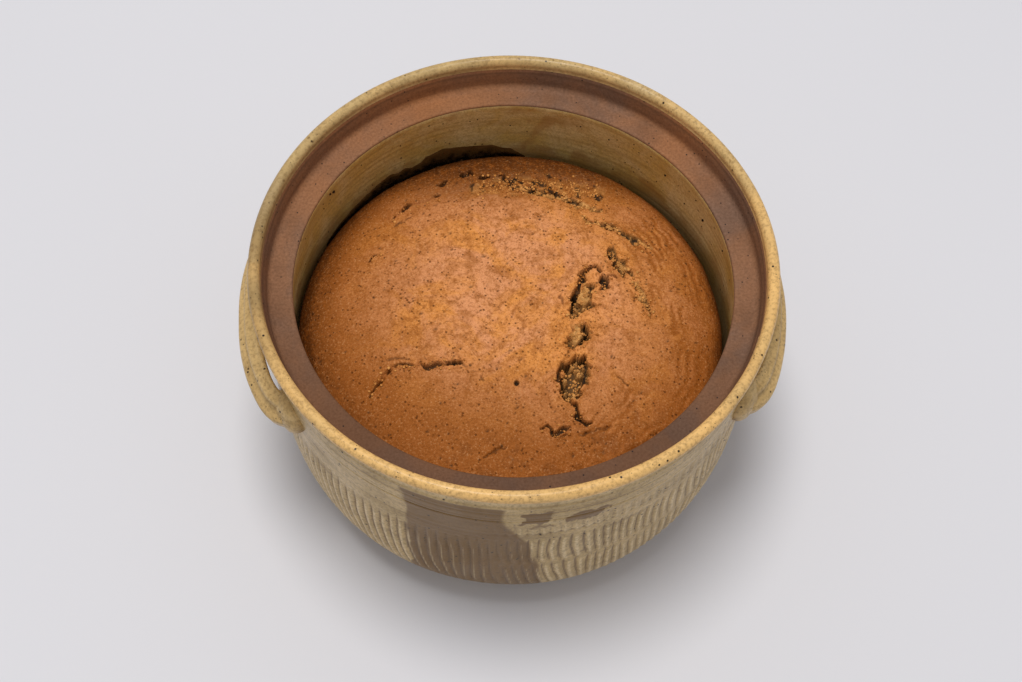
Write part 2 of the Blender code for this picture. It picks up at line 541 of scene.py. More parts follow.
@dataclass(frozen=True)
class GlazeFinish:
    """Ash glaze over stoneware: brown in the hollows as painted shade, pale on the ridges as a painted
    highlight.
    """

    name: str
    # brown of painted shade in the hollows, also used for random darker glaze
    thin: Colour = (0.150, 0.080, 0.026)
    body: Colour = (0.600, 0.415, 0.180)
    pale: Colour = (0.840, 0.650, 0.370)
    # dark brown of the painted reflection on the front of the wall
    reflected_dark: Colour = (0.170, 0.080, 0.012)
    speck: Colour = (0.022, 0.012, 0.006)
    honey: Colour = (0.96, 0.565, 0.195)
    gloss: float = 0.28

    def material(self) -> bpy.types.Material:
        """Build the glaze; it reads groove, pale_and_highlight, painted_reflection and
        honey_and_painted_light.

        Returns:
            The material.
        """
        desk = Desk(self.name)
        cloud = desk.noise(0.022, 5.0, 0.6, 0.6)
        fine = desk.noise(0.0016, 4.0, 0.65)
        rings = desk.noise(0.006, 3.0, 0.6, 0.0, desk.mapped((0.12, 0.12, 1.0)))
        colour = desk.mix(desk.span(cloud, 0.32, 0.7), self.body, tuple(0.80 * c for c in self.body))
        colour = desk.mix(desk.span(rings, 0.5, 0.75, 0.0, 0.45), colour, self.thin)
        colour = desk.mix(desk.span(rings, 0.48, 0.25, 0.0, 0.35), colour, self.pale)
        # painted reflection: the front of the wall darker brown
        colour = desk.mix(desk.span(desk.value("painted_reflection"), 0.2, 0.8, 0.0, 0.88), colour, self.reflected_dark)
        # painted highlight on ridges and burrs; pale glaze colour on the collar band
        colour = desk.mix(desk.span(desk.value("pale_and_highlight"), 0.15, 0.9, 0.0, 0.62), colour, self.pale)
        # groove: painted shade in grooves, ring hollows and cut lines, with dark pinholes
        colour = desk.mix(desk.span(desk.value("groove"), 0.1, 0.9, 0.0, 0.80), colour, self.thin)
        # painted light: the bead's top brighter honey at the front; an even honey tone on the handles
        colour = desk.mix(desk.span(desk.value("honey_and_painted_light"), 0.0, 1.0, 0.0, 0.75), colour, self.honey)
        colour = desk.mix(desk.span(fine, 0.40, 0.72, 0.0, 0.50), colour, self.thin)
        specks = desk.sums("MULTIPLY", desk.span(desk.cells(0.0044), 0.165, 0.085),
                           desk.span(desk.noise(0.009, 2.0), 0.46, 0.54))
        dust = desk.sums("MULTIPLY", desk.span(desk.cells(0.0021), 0.20, 0.09),
                         desk.span(desk.noise(0.006, 2.0), 0.50, 0.60, 0.0, 0.75))
        colour = desk.mix(desk.sums("MAXIMUM", specks, dust), colour, self.speck)
        rough = desk.span(cloud, 0.3, 0.75, self.gloss, self.gloss + 0.16)
        height = desk.sums("ADD", desk.sums("MULTIPLY", fine, 0.5), desk.sums("MULTIPLY", cloud, 0.5))
        height = desk.sums("SUBTRACT", height, desk.sums("MULTIPLY", specks, 0.4))
        return desk.finish(colour, rough, height, 0.10 * MM, coat=0.06, coat_rough=0.16, shine=0.18)


@dataclass(frozen=True)
class BareClayFinish:
    """Unglazed stoneware of the lid seat and the foot, flashed brown and purple by the fire."""

    name: str
    brown: Colour = (0.295, 0.138, 0.068)
    purple: Colour = (0.215, 0.118, 0.075)
    rust: Colour = (0.420, 0.165, 0.055)
    dark: Colour = (0.070, 0.030, 0.014)
    sandy: Colour = (0.42, 0.23, 0.13)
    speck: Colour = (0.02, 0.012, 0.01)

    def material(self) -> bpy.types.Material:
        """Build the bare clay; it reads the vertex values painted_shade and flash.

        Returns:
            The material.
        """
        desk = Desk(self.name)
        cloud = desk.noise(0.030, 4.0, 0.6, 0.4)
        grit = desk.noise(0.0012, 5.0, 0.7)
        rings = desk.noise(0.0028, 3.0, 0.6, 0.0, desk.mapped((0.10, 0.10, 1.0)))
        colour = desk.mix(desk.span(cloud, 0.36, 0.66), self.brown, self.purple)
        colour = desk.mix(desk.value("flash"), colour, self.rust)
        colour = desk.mix(desk.span(grit, 0.38, 0.72, 0.0, 0.42), colour, self.dark)
        colour = desk.mix(desk.span(grit, 0.44, 0.22, 0.0, 0.45), colour, self.sandy)
        colour = desk.mix(desk.span(rings, 0.45, 0.72, 0.0, 0.25), colour, self.dark)
        # painted shade in the gallery's corners, along the lip, over its front and under the foot
        colour = desk.mix(desk.value("painted_shade"), colour, self.dark)
        specks = desk.span(desk.cells(0.0045), 0.11, 0.06)
        colour = desk.mix(specks, colour, self.speck)
        height = desk.sums("ADD", desk.sums("MULTIPLY", grit, 0.6), desk.sums("MULTIPLY", rings, 0.4))
        return desk.finish(colour, desk.span(grit, 0.3, 0.8, 0.66, 0.84), height, 0.22 * MM)


@dataclass(frozen=True)
class CrustFinish:
    """The baked crust: rosy tan in the middle, ochre round the cracks, browner to the edge, partly as painted
    shade by the wall.
    """

    name: str
    rosy: Colour = (0.760, 0.315, 0.130)
    ochre: Colour = (0.780, 0.300, 0.068)
    brown: Colour = (0.350, 0.105, 0.014)
    # dark brown of browning and of painted shade
    toasted_and_shade: Colour = (0.110, 0.029, 0.003)
    crumb: Colour = (0.700, 0.345, 0.105)
    moist: Colour = (0.400, 0.190, 0.052)
    # black of painted shade inside clefts, pits and holes
    shaded_cleft: Colour = (0.030, 0.014, 0.005)
    bright: Colour = (0.98, 0.58, 0.28)

    def material(self) -> bpy.types.Material:
        """Build the crust; it reads the vertex values edge, golden, burn, crumb, cleft and pore.

        Returns:
            The material.
        """
        desk = Desk(self.name)
        cloud = desk.noise(0.028, 5.0, 0.6, 0.8)
        patch = desk.noise(0.0080, 5.0, 0.65, 0.6)
        mottle = desk.noise(0.0024, 5.0, 0.7, 0.4)
        fine = desk.noise(0.0010, 4.0, 0.75)
        streak = desk.noise(0.0034, 4.0, 0.65, 0.3, desk.mapped((1.0, 0.40, 1.0)))
        colour = desk.mix(desk.span(cloud, 0.45, 0.63), self.rosy, self.ochre)
        colour = desk.mix(desk.value("golden"), colour, self.ochre)
        colour = desk.mix(desk.span(patch, 0.47, 0.66, 0.0, 0.62), colour, self.brown)
        # edge: browning and painted shade towards the wall
        colour = desk.mix(desk.value("edge"), colour, self.brown)
        # burn_and_shade: browning and painted shade at the far side, the rim and the sides
        colour = desk.mix(desk.value("burn_and_shade"), colour, self.toasted_and_shade)
        colour = desk.mix(desk.span(streak, 0.50, 0.70, 0.0, 0.50), colour, self.brown)
        colour = desk.mix(desk.span(mottle, 0.48, 0.64, 0.0, 0.62), colour, self.brown)
        colour = desk.mix(desk.span(fine, 0.50, 0.68, 0.0, 0.55), colour, self.toasted_and_shade)
        colour = desk.mix(desk.span(fine, 0.46, 0.32, 0.0, 0.28), colour, self.bright)
        # painted shade in small pits
        shaded_pits = desk.sums("MULTIPLY", desk.span(desk.cells(0.0022), 0.30, 0.14),
                          desk.span(desk.noise(0.007, 3.0), 0.44, 0.58))
        colour = desk.mix(desk.sums("MULTIPLY", shaded_pits, 0.8), colour, self.toasted_and_shade)
        lumps = desk.noise(0.0022, 4.0, 0.7)
        inside = desk.mix(desk.span(lumps, 0.38, 0.62), self.moist, self.crumb)
        colour = desk.mix(desk.value("crumb"), colour, inside)
        # painted shade inside clefts, pits and holes
        holes = desk.sums("MAXIMUM", desk.value("shaded_cleft"), desk.value("shaded_pit"))
        colour = desk.mix(holes, colour, self.shaded_cleft)
        rough = desk.span(fine, 0.3, 0.8, 0.55, 0.72)
        height = desk.sums("ADD", desk.sums("MULTIPLY", fine, 0.40), desk.sums("MULTIPLY", mottle, 0.60))
        height = desk.sums("SUBTRACT", height, desk.sums("MULTIPLY", shaded_pits, 0.4))
        return desk.finish(colour, rough, height, 0.66 * MM, shine=0.14)


@dataclass(frozen=True)
class GrainFinish:
    """Loose or torn crumbs, a little different from grain to grain."""

    name: str
    light: Colour
    dark: Colour
    rough: float = 0.62

    def material(self) -> bpy.types.Material:
        """Build the crumb.

        Returns:
            The material.
        """
        desk = Desk(self.name)
        patch = desk.noise(0.0024, 2.0, 0.6)
        fine = desk.noise(0.0006, 4.0, 0.7)
        colour = desk.mix(desk.span(patch, 0.36, 0.64), self.light, self.dark)
        colour = desk.mix(desk.span(fine, 0.5, 0.75, 0.0, 0.4), colour, tuple(0.6 * c for c in self.dark))
        return desk.finish(colour, self.rough, fine, 0.15 * MM, shine=0.12)


@dataclass(frozen=True)
class BurntFinish:
    """Juice that boiled up the wall and burnt on: nearly black, glossy where it is thick."""

    name: str
    thick: Colour = (0.012, 0.006, 0.003)
    thin: Colour = (0.130, 0.062, 0.016)
    gloss: float = 0.16

    def material(self) -> bpy.types.Material:
        """Build the burnt juice; it reads the vertex value thin.

        Returns:
            The material.
        """
        desk = Desk(self.name)
        patch = desk.noise(0.003, 4.0, 0.65)
        colour = desk.mix(desk.span(patch, 0.46, 0.70, 0.0, 0.6), self.thick, self.thin)
        colour = desk.mix(desk.value("thin"), colour, self.thin)
        return desk.finish(colour, desk.span(patch, 0.3, 0.7, self.gloss, 0.62), patch, 0.35 * MM)


@dataclass(frozen=True)
class FloorFinish:
    """The pale matt floor of the studio."""

    name: str = "studio_floor"
    tone: Colour = (0.735, 0.730, 0.765)

    def material(self) -> bpy.types.Material:
        """Build the floor.

        Returns:
            The material.
        """
        desk = Desk(self.name)
        cloud = desk.noise(0.5, 2.0, 0.5)
        colour = desk.mix(desk.span(cloud, 0.3, 0.7), self.tone, tuple(0.985 * c for c in self.tone))
        return desk.finish(colour, 0.75)


# ---------------------------------------------------------------------------------------------
# The pot
# ---------------------------------------------------------------------------------------------


class Slot(Enum):
    """The record's material slots."""

    STONEWARE = "glazed_stoneware"
    PUDDING = "baked_pudding"


def hand_over(piece: bpy.types.Object, finish: bpy.types.Material,
              stands_for: "str | None" = None) -> bpy.types.Object:
    """Dress a piece, let it ride on the body and report it.

    Args:
        piece: the finished object.
        finish: its material.
        stands_for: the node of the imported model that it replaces, if any.

    Returns:
        The same object.
    """
    if not piece.data.materials:
        piece.data.materials.append(finish)
    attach(piece, "root")
    if stands_for:
        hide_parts(stands_for)
    LOG.info("%s: %d faces", piece.name, len(piece.data.polygons))
    return piece


@dataclass
class Pot:
    """The thrown pot: wall, rim bead, lid seat and lining.

    `finger_cuts` holds the height and the strength of each line cut by a fingertip, and `flashes` the
    first and last angle, the softness and the strength of each rust-brown flash on the bare clay.
    """

    rim_radius: float
    total_height: float
    belly_radius: float = 0.1161
    foot_radius: float = 0.080
    foot_height: float = 0.005
    foot_ring_width: float = 0.009
    floor_thickness: float = 0.011
    inner_radius: float = 0.1068
    inner_corner: float = 0.028
    ledge_height: float = 0.1248
    ledge_inner_radius: float = 0.1014
    ledge_outer_radius: float = 0.1128
    lip: float = 0.0012
    hollow: float = 0.0034
    bead_half_width: float = 0.00275
    bead_half_height: float = 0.0030
    collar_radius: float = 0.1169
    collar_foot: float = 0.1118
    belly_start: float = 0.084
    belly_power: float = 3.6
    wall_middle: float = 0.1115
    stroke_count: int = 154
    stroke_depth: float = 0.00100
    glaze_line: float = 0.1352
    finger_cuts: tuple[tuple[float, float], ...] = ((0.1195, 1.0), (0.1077, 0.9), (0.1022, 0.6),
                                                    (0.0956, 0.9), (0.0925, 0.5), (0.1150, 0.4))
    flashes: tuple[tuple[float, float, float, float], ...] = ((28, 52, 9, 1.0), (86, 128, 12, 0.7),
                                                              (-160, -120, 14, 0.5), (115, 165, 12, 0.5))
    wander: Wander = field(default_factory=lambda: Wander(11))

    def bead_centre(self) -> tuple[float, float]:
        """Middle of the rim bead's section."""
        return self.rim_radius - self.bead_half_width, self.total_height - self.bead_half_height

    def belly_outline(self) -> Outline:
        """The outer wall from under the collar down to the foot.

        Returns:
            The points as (radius, height), from the top down.
        """
        points = [(self.collar_radius - 0.0007, self.collar_foot + 0.0008),
                  (self.collar_radius - 0.0002, self.collar_foot - 0.0004),
                  (self.belly_radius + 0.0002, 0.099)]
        steps = 90
        for i in range(steps + 1):
            drop = math.sin(math.pi / 2 * i / steps)
            reach = (1.0 - drop ** self.belly_power) ** (1.0 / self.belly_power)
            radius = self.foot_radius + (self.belly_radius - self.foot_radius) * reach
            points.append((radius, self.belly_start + (self.foot_height - self.belly_start) * drop))
        return points

    def wall_outline(self) -> Outline:
        """Closed section of the wall below the collar, with the foot ring and the underside.

        Returns:
            The points as (radius, height), both ends on the axis.
        """
        belly = walked(self.belly_outline(), 1.4 * MM)
        ring_inner = self.foot_radius - self.foot_ring_width
        foot = arc((self.foot_radius - 0.0016, 0.0016), (0.0016, 0.0016), 0, -90, 3)
        foot += arc((ring_inner + 0.0016, 0.0016), (0.0016, 0.0016), -90, -180, 3)
        recess = [(ring_inner - 0.0008, 0.0036), (ring_inner - 0.004, 0.0042), (0.035, 0.0040), (0.0, 0.0040)]
        inside = [(0.0, 0.0078), (0.078, 0.0078), (0.098, 0.020), (self.wall_middle, 0.055),
                  (self.wall_middle, self.collar_foot - 0.0006)]
        return recess[::-1] + foot[::-1] + belly[::-1][1:] + inside[::-1]

    def rim_outline(self) -> Outline:
        """Closed section of collar, bead, gallery, lid seat, inner wall and inner floor.

        Returns:
            The points as (radius, height), both ends on the axis.
        """
        lip = self.lip
        centre = self.bead_centre()
        half = (self.bead_half_width, self.bead_half_height)
        corner = (self.inner_radius - self.inner_corner, self.floor_thickness + self.inner_corner)
        lining = [(0.0, self.floor_thickness), (0.040, self.floor_thickness)]
        lining += arc(corner, (self.inner_corner, self.inner_corner), -90, 0, 8)
        wall = walked([(self.inner_radius, 0.058), (self.inner_radius - 0.0006, 0.085),
                       (self.inner_radius - 0.0024, 0.106), (self.ledge_inner_radius + 0.0007, 0.1196),
                       (self.ledge_inner_radius + 0.0001, 0.1215)], 1.5 * MM)
        seat = arc((self.ledge_inner_radius + lip, self.ledge_height - lip), (lip, lip), 180, 90, 5)
        seat += arc((self.ledge_outer_radius - self.hollow, self.ledge_height + self.hollow),
                    (self.hollow, self.hollow), -90, 0, 12)
        seat = walked(seat, 0.7 * MM)
        riser = walked([seat[-1], (self.ledge_outer_radius + 0.0004, 0.1318), (0.1144, 0.1362)], 1.0 * MM)[1:]
        bead = walked(arc(centre, half, 198, -48, 60), 0.55 * MM)
        collar = self.collar_radius
        fillet = walked([bead[-1], (collar + 0.0006, self.glaze_line), (collar - 0.0006, 0.1330),
                         (collar - 0.0004, 0.1285), (collar, 0.1255), (collar + 0.0003, 0.1250),
                         (collar, 0.1244), (collar + 0.0001, 0.118), (collar, self.collar_foot + 0.0006),
                         (collar - 0.0004, self.collar_foot)], 0.8 * MM)[1:]
        inside = [(self.wall_middle + 0.0002, self.collar_foot), (self.wall_middle + 0.0002, 0.056),
                  (0.0985, 0.0185), (0.078, 0.0082), (0.0, 0.0082)]
        return lining + wall[1:] + seat + riser + bead + fillet + inside

    def throwing_rings(self, coords: Array, low: float, high: float) -> Array:
        """Faint spiral rings left by the fingers.

        Args:
            coords: places on the pot.
            low: height where the rings start.
            high: height where they end.

        Returns:
            Relief from -1 to 1 for each place.
        """
        angle = np.arctan2(coords[:, 1], coords[:, 0])
        rise = coords[:, 2] + angle / (2.0 * math.pi) * 4.0 * MM
        wave = np.sin(rise / (4.0 * MM) * 2.0 * math.pi)
        wave = np.sign(wave) * np.abs(wave) ** 1.8 + 0.6 * np.sin(rise / (2.3 * MM) * 2.0 * math.pi + 1.3)
        fade = 0.5 + 0.5 * self.wander.at(coords, 28.0 * MM)
        return 0.6 * wave * fade * between(low, high, 1.5 * MM, coords[:, 2])

    def finger_lines(self, coords: Array) -> Array:
        """Sharp lines cut round the upper wall by a fingertip.

        Args:
            coords: places on the pot.

        Returns:
            Depth for each place: above 0 in the cut, below 0 on the burr beside it.
        """
        height = coords[:, 2] + 0.35 * MM * self.wander.at(coords, 60.0 * MM)
        lines = np.zeros(len(coords))
        for level, depth in self.finger_cuts:
            lines += depth * np.exp(-((height - level) / (0.55 * MM)) ** 2)
            lines -= 0.7 * depth * np.exp(-((height - level - 1.3 * MM) / (0.6 * MM)) ** 2)
        return lines * (0.75 + 0.35 * self.wander.at(coords, 20.0 * MM))

    def strokes(self, coords: Array) -> Array:
        """The chattered strokes round the belly: below 0 in a groove, above 0 on a ridge.

        Args:
            coords: places on the outer wall.

        Returns:
            Relief from about -1 to 0.5 for each place.
        """
        angle = np.arctan2(coords[:, 1], coords[:, 0])
        height = coords[:, 2]
        round_wall = np.stack([np.cos(angle), np.sin(angle), height * 4.0], axis=1)
        turn = angle / (2.0 * math.pi) * self.stroke_count + 0.50 * self.wander.at(round_wall, 0.16)
        turn += 0.07 * self.wander.at(round_wall, 0.04)
        viewer_right = ease(-0.05, 0.05, np.cos(angle + 0.10))

        def stroke_row(low: float, high: float, lean: float, curl: float, shift: float) -> Array:
            """One row of strokes.

            Args:
                low: height of the row's lower end.
                high: height of its upper end.
                lean: how far a stroke leans, in strokes.
                curl: how far it curls.
                shift: how far the row is turned, in strokes.

            Returns:
                Relief of the row for each place.
            """
            middle, half = (low + high) / 2, (high - low) / 2
            up = (height - middle) / half
            part = np.mod(turn + shift + lean * up + curl * up * up, 1.0)
            groove = np.exp(-((part - 0.30) / 0.13) ** 2)
            ridge = np.exp(-((part - 0.70) / 0.15) ** 2)
            ragged = 0.10 * self.wander.at(np.stack([np.floor(turn + shift), up * 0, up * 0], axis=1), 1.7)
            end = ease(1.02, 0.62, np.abs(up) + ragged + 0.30 * np.abs(part - 0.30))
            return (0.55 * ridge - groove) * end

        long_row = stroke_row(0.020, 0.0925, 0.45, -0.42, 0.0)
        upper = stroke_row(0.058, 0.0930, 0.22, -0.25, 0.0)
        lower = stroke_row(0.020, 0.0640, 0.26, -0.30, 0.5)
        fine = 0.55 * stroke_row(0.0925, 0.1085, 0.18, 0.10, 0.25)
        right = np.where(np.abs(upper) > np.abs(lower), upper, lower) + fine
        relief = long_row * (1.0 - viewer_right) + right * viewer_right
        cross = np.sin(height / (2.6 * MM) * 2.0 * math.pi) * between(0.066, 0.100, 3.0 * MM, height)
        strength = 0.75 + 0.35 * self.wander.at(round_wall, 0.5)
        return strength * relief + 0.22 * cross * (1.0 - viewer_right) * (relief < -0.1)

    def painted_reflection_mask(self, coords: Array) -> Array:
        """Where a dark reflection is painted on the front of the wall, as browner glaze.

        Args:
            coords: places on the pot.

        Returns:
            Share of the painted reflection for each place.
        """
        angle = np.degrees(np.arctan2(coords[:, 1], coords[:, 0]))
        height = coords[:, 2]
        ragged = 1.3 * self.wander.layered(coords, 9.0 * MM, 2)
        right_side = np.interp(height, [0.030, 0.066, 0.085, 0.105, 0.1115, 0.124],
                               [-84.8, -87.3, -89.2, -93.6, -94.4, -94.4])
        panel = ease(-117.8, -115.2, angle + ragged) * ease(1.5, -1.5, angle - right_side + 0.5 * ragged)
        panel *= ease(0.1255, 0.1240, height)
        torn = 0.42 * self.wander.layered(coords, 4.0 * MM, 4)
        block = np.maximum(np.abs(angle + 87.6) / 2.9, np.abs(height - 0.1150) / 0.0052)
        spot = ease(1.15, 0.90, block + torn)
        slip = ease(1.15, 0.90, np.hypot((angle + 76.0 - (height - 0.112) * 420) / 4.4,
                                         (height - 0.1110) / 0.0050) + torn)
        smear = 0.6 * ease(1.2, 0.8, np.hypot((angle + 86.0) / 2.6, (height - 0.1045) / 0.0022) + torn)
        return np.maximum.reduce([panel, spot, slip, smear])

    def build_wall(self, glaze: bpy.types.Material, clay: bpy.types.Material) -> None:
        """The belly with its strokes, the foot ring and the underside.

        Args:
            glaze: finish of the outside.
            clay: finish of the foot and the underside.
        """
        wall = turned("pot_wall", self.wall_outline(), self.stroke_count * 6)
        mesh = wall.data
        coords = coords_of(mesh)
        outside = np.hypot(coords[:, 0], coords[:, 1]) > self.wall_middle + 0.5 * MM
        outside |= coords[:, 2] < 0.0545
        outside &= coords[:, 2] > 0.0062
        relief = self.strokes(coords) * outside
        rings = self.throwing_rings(coords, 0.088, 0.112) * outside
        uneven = self.wander.at(coords, 45.0 * MM) * ease(0.006, 0.02, coords[:, 2]) * outside
        lines = self.finger_lines(coords) * outside
        lift = relief * self.stroke_depth - lines * 0.22 * MM + rings * 0.12 * MM + uneven * 0.25 * MM
        move_to(mesh, coords + normals_of(mesh) * lift[:, None])
        # painted dark reflection on the front of the wall
        painted_reflection = self.painted_reflection_mask(coords)
        # painted shade in the stroke grooves, ring hollows and finger cuts; painted highlight on the ridges
        mark(mesh, "groove", -relief * 1.1 - 0.40 * rings + 0.85 * lines)
        mark(mesh, "pale_and_highlight", relief * 2.6 - 0.55 * painted_reflection - 0.45 * lines)
        mark(mesh, "painted_reflection", painted_reflection * ease(0.010, 0.020, coords[:, 2]))
        # painted shade under the foot's lowest edge
        mark(mesh, "painted_shade", ease(0.004, 0.0, coords[:, 2]) * 0.3)
        mesh.materials.append(glaze)
        mesh.materials.append(clay)
        middles = face_middles(mesh)
        foot = (middles[:, 2] < 0.0075) & (np.hypot(middles[:, 0], middles[:, 1]) < self.foot_radius + 0.004)
        dress_faces(mesh, foot.astype(int))
        hand_over(wall, glaze, "pot")

    def build_rim(self, glaze: bpy.types.Material, clay: bpy.types.Material,
                  lining: bpy.types.Material) -> None:
        """The collar, the rim bead, the gallery with the lid seat, and the glazed lining.

        Args:
            glaze: finish of the collar and the bead.
            clay: finish of the gallery and the lid seat.
            lining: finish of the inner wall.
        """
        rim = turned("pot_rim", self.rim_outline(), self.stroke_count * 4)
        mesh = rim.data
        coords = coords_of(mesh)
        radius = np.hypot(coords[:, 0], coords[:, 1])
        height = coords[:, 2]
        angle = np.degrees(np.arctan2(coords[:, 1], coords[:, 0]))
        on_bead = (height > self.glaze_line) & (radius > self.ledge_outer_radius + 1.0 * MM)
        on_collar = (radius > self.wall_middle + 2.0 * MM) & (height < self.glaze_line)
        on_lining = (radius < self.inner_radius + 0.2 * MM) & (height > 0.012) & ~on_bead
        on_lining &= height < self.ledge_height - 0.5 * MM
        rings = self.throwing_rings(coords, 0.105, 0.1345) * on_collar
        rings += 1.6 * self.throwing_rings(coords, 0.070, 0.120) * on_lining
        uneven = self.wander.at(coords, 38.0 * MM) * (on_bead | on_collar)
        lines = self.finger_lines(coords) * on_collar
        lift = rings * 0.10 * MM - lines * 0.22 * MM + uneven * 0.22 * MM
        pits, depth = self.pinholes(coords, on_bead)
        move_to(mesh, coords + normals_of(mesh) * (lift - depth)[:, None])
        browned = 0.55 * ease(138, 168, np.abs(angle)) * on_bead
        # painted shade in ring hollows and finger cuts, dark pinholes, and the bead darker to the left
        mark(mesh, "groove", np.maximum.reduce([-0.50 * rings + 0.85 * lines, pits, browned]))
        # pale glaze on the collar band; painted highlight on the burrs beside the cuts
        pale_and_highlight = 0.6 * between(0.1268, 0.1336, 0.8 * MM, height) * on_collar - 0.45 * np.minimum(lines, 0.0)
        mark(mesh, "pale_and_highlight", pale_and_highlight)
        # painted dark reflection on the front of the collar
        mark(mesh, "painted_reflection", self.painted_reflection_mask(coords) * on_collar)
        # painted light on the bead's top: brightest at the front, less at the back and the left
        painted_bead_light = 0.74 + 0.30 * self.wander.at(coords, 14.0 * MM) - 0.50 * between(20, 175, 30, angle)
        painted_bead_light -= 0.45 * ease(132, 165, np.abs(angle))
        mark(mesh, "honey_and_painted_light", on_bead * ease(0.1354, 0.1364, height) * painted_bead_light)
        # painted shade in the corner under the bead, along the lip and over the front of the gallery
        corner = 0.25 * ease(0.1256, 0.1300, height) + 0.60 * ease(0.1325, 0.1356, height)
        corner *= (radius > self.ledge_outer_radius - 3.6 * MM) & ~on_bead
        lip_line = 0.75 * between(0.1205, 0.1240, 0.7 * MM, height)
        lip_line *= radius < self.ledge_inner_radius + 1.0 * MM
        front = 0.55 * between(-165, -30, 30, angle)
        mark(mesh, "painted_shade", np.maximum.reduce([corner, lip_line, front]))
        flash = sum(strength * between(low, high, soft, angle) for low, high, soft, strength in self.flashes)
        mark(mesh, "flash", flash * (0.55 + 0.45 * self.wander.at(coords, 16.0 * MM)))
        mark(mesh, "stain", self.stain(coords, angle) * on_lining)
        for finish in (glaze, clay, lining):
            mesh.materials.append(finish)
        middles = face_middles(mesh)
        reach, level = np.hypot(middles[:, 0], middles[:, 1]), middles[:, 2]
        seat = (level > self.ledge_height - 1.6 * MM) & (level < 0.1358)
        seat &= reach < self.ledge_outer_radius + 1.6 * MM
        inner = (reach < self.inner_radius + 0.2 * MM) & ~seat & (level < self.ledge_height)
        dress_faces(mesh, np.where(seat, 1, np.where(inner, 2, 0)))
        hand_over(rim, glaze)

    def pinholes(self, coords: Array, where: Array) -> tuple[Array, Array]:
        """A few burst bubbles in the bead's glaze.

        Args:
            coords: places on the rim.
            where: which of them are on the bead.

        Returns:
            How dark each place is, and how deep the glaze dips there.
        """
        draw = np.random.default_rng(5)
        bead_radius, bead_height = self.bead_centre()
        dark = np.zeros(len(coords))
        for _ in range(46):
            angle = draw.uniform(0.0, 2.0 * math.pi)
            tilt = draw.uniform(math.radians(-20), math.radians(150))
            reach = bead_radius + self.bead_half_width * math.cos(tilt)
            spot = np.array([reach * math.cos(angle), reach * math.sin(angle),
                             bead_height + self.bead_half_height * math.sin(tilt)])
            size = draw.uniform(0.55, 1.0) * MM
            away = np.linalg.norm(coords - spot, axis=1)
            dark = np.maximum(dark, ease(size, 0.3 * size, away) * where)
        return dark, dark * 0.22 * MM

    def stain(self, coords: Array, angle: Array) -> Array:
        """The orange-brown run where juice boiled over the lining, faint stains beside it, and darker towards
        the bottom just above the crust.

        Args:
            coords: places on the rim.
            angle: their angles round the pot in degrees.

        Returns:
            Share of the stain for each place.
        """
        height = coords[:, 2]
        ragged = self.wander.layered(coords, 8.0 * MM, 3)
        middle = np.interp(angle, [68, 75, 79, 81.5, 85.5, 90], [0.117, 0.116, 0.110, 0.097, 0.084, 0.080])
        run = 0.5 * ease(1.3, 0.2, np.abs(height - middle) / 0.0075 + 0.9 * ragged)
        run *= between(67, 93, 6, angle)
        haze = 0.45 * ease(0.0, 0.9, ragged + 0.2) * between(60, 125, 16, angle) * ease(0.086, 0.112, height)
        # darker towards the bottom, just above the crust
        low = 0.6 * ease(0.094, 0.082, height + 0.006 * ragged)
        return np.maximum.reduce([run, haze, low])


@dataclass(frozen=True)
class LiningFinish:
    """The glaze inside: olive-grey tan, speckled, stained by the baking."""

    name: str
    olive: Colour = (0.680, 0.500, 0.150)
    grey: Colour = (0.780, 0.640, 0.310)
    brown: Colour = (0.300, 0.175, 0.045)
    stain: Colour = (0.330, 0.125, 0.018)
    speck: Colour = (0.02, 0.012, 0.006)

    def material(self) -> bpy.types.Material:
        """Build the lining; it reads the vertex values stain and groove.

        Returns:
            The material.
        """
        desk = Desk(self.name)
        cloud = desk.noise(0.026, 5.0, 0.6, 0.5)
        fine = desk.noise(0.0014, 5.0, 0.7)
        rings = desk.noise(0.0050, 3.0, 0.6, 0.0, desk.mapped((0.14, 0.14, 1.0)))
        colour = desk.mix(desk.span(cloud, 0.34, 0.66), self.olive, self.grey)
        colour = desk.mix(desk.span(rings, 0.48, 0.74, 0.0, 0.40), colour, self.brown)
        colour = desk.mix(desk.span(fine, 0.42, 0.72, 0.0, 0.55), colour, self.brown)
        crackle = desk.span(desk.cells(0.0028, "DISTANCE_TO_EDGE"), 0.055, 0.0, 0.0, 0.40)
        colour = desk.mix(crackle, colour, self.brown)
        colour = desk.mix(desk.span(desk.value("stain"), 0.05, 1.0, 0.0, 0.85), colour, self.stain)
        # groove: painted shade in the ring hollows of the lining
        colour = desk.mix(desk.value("groove"), colour, self.brown)
        specks = desk.sums("MULTIPLY", desk.span(desk.cells(0.0060), 0.12, 0.06),
                           desk.span(desk.noise(0.014, 2.0), 0.48, 0.56))
        colour = desk.mix(specks, colour, self.speck)
        height = desk.sums("ADD", desk.sums("MULTIPLY", fine, 0.5), desk.sums("MULTIPLY", rings, 0.5))
        return desk.finish(colour, desk.span(cloud, 0.3, 0.7, 0.34, 0.50), height, 0.14 * MM,
                           coat=0.12, coat_rough=0.2, shine=0.3)


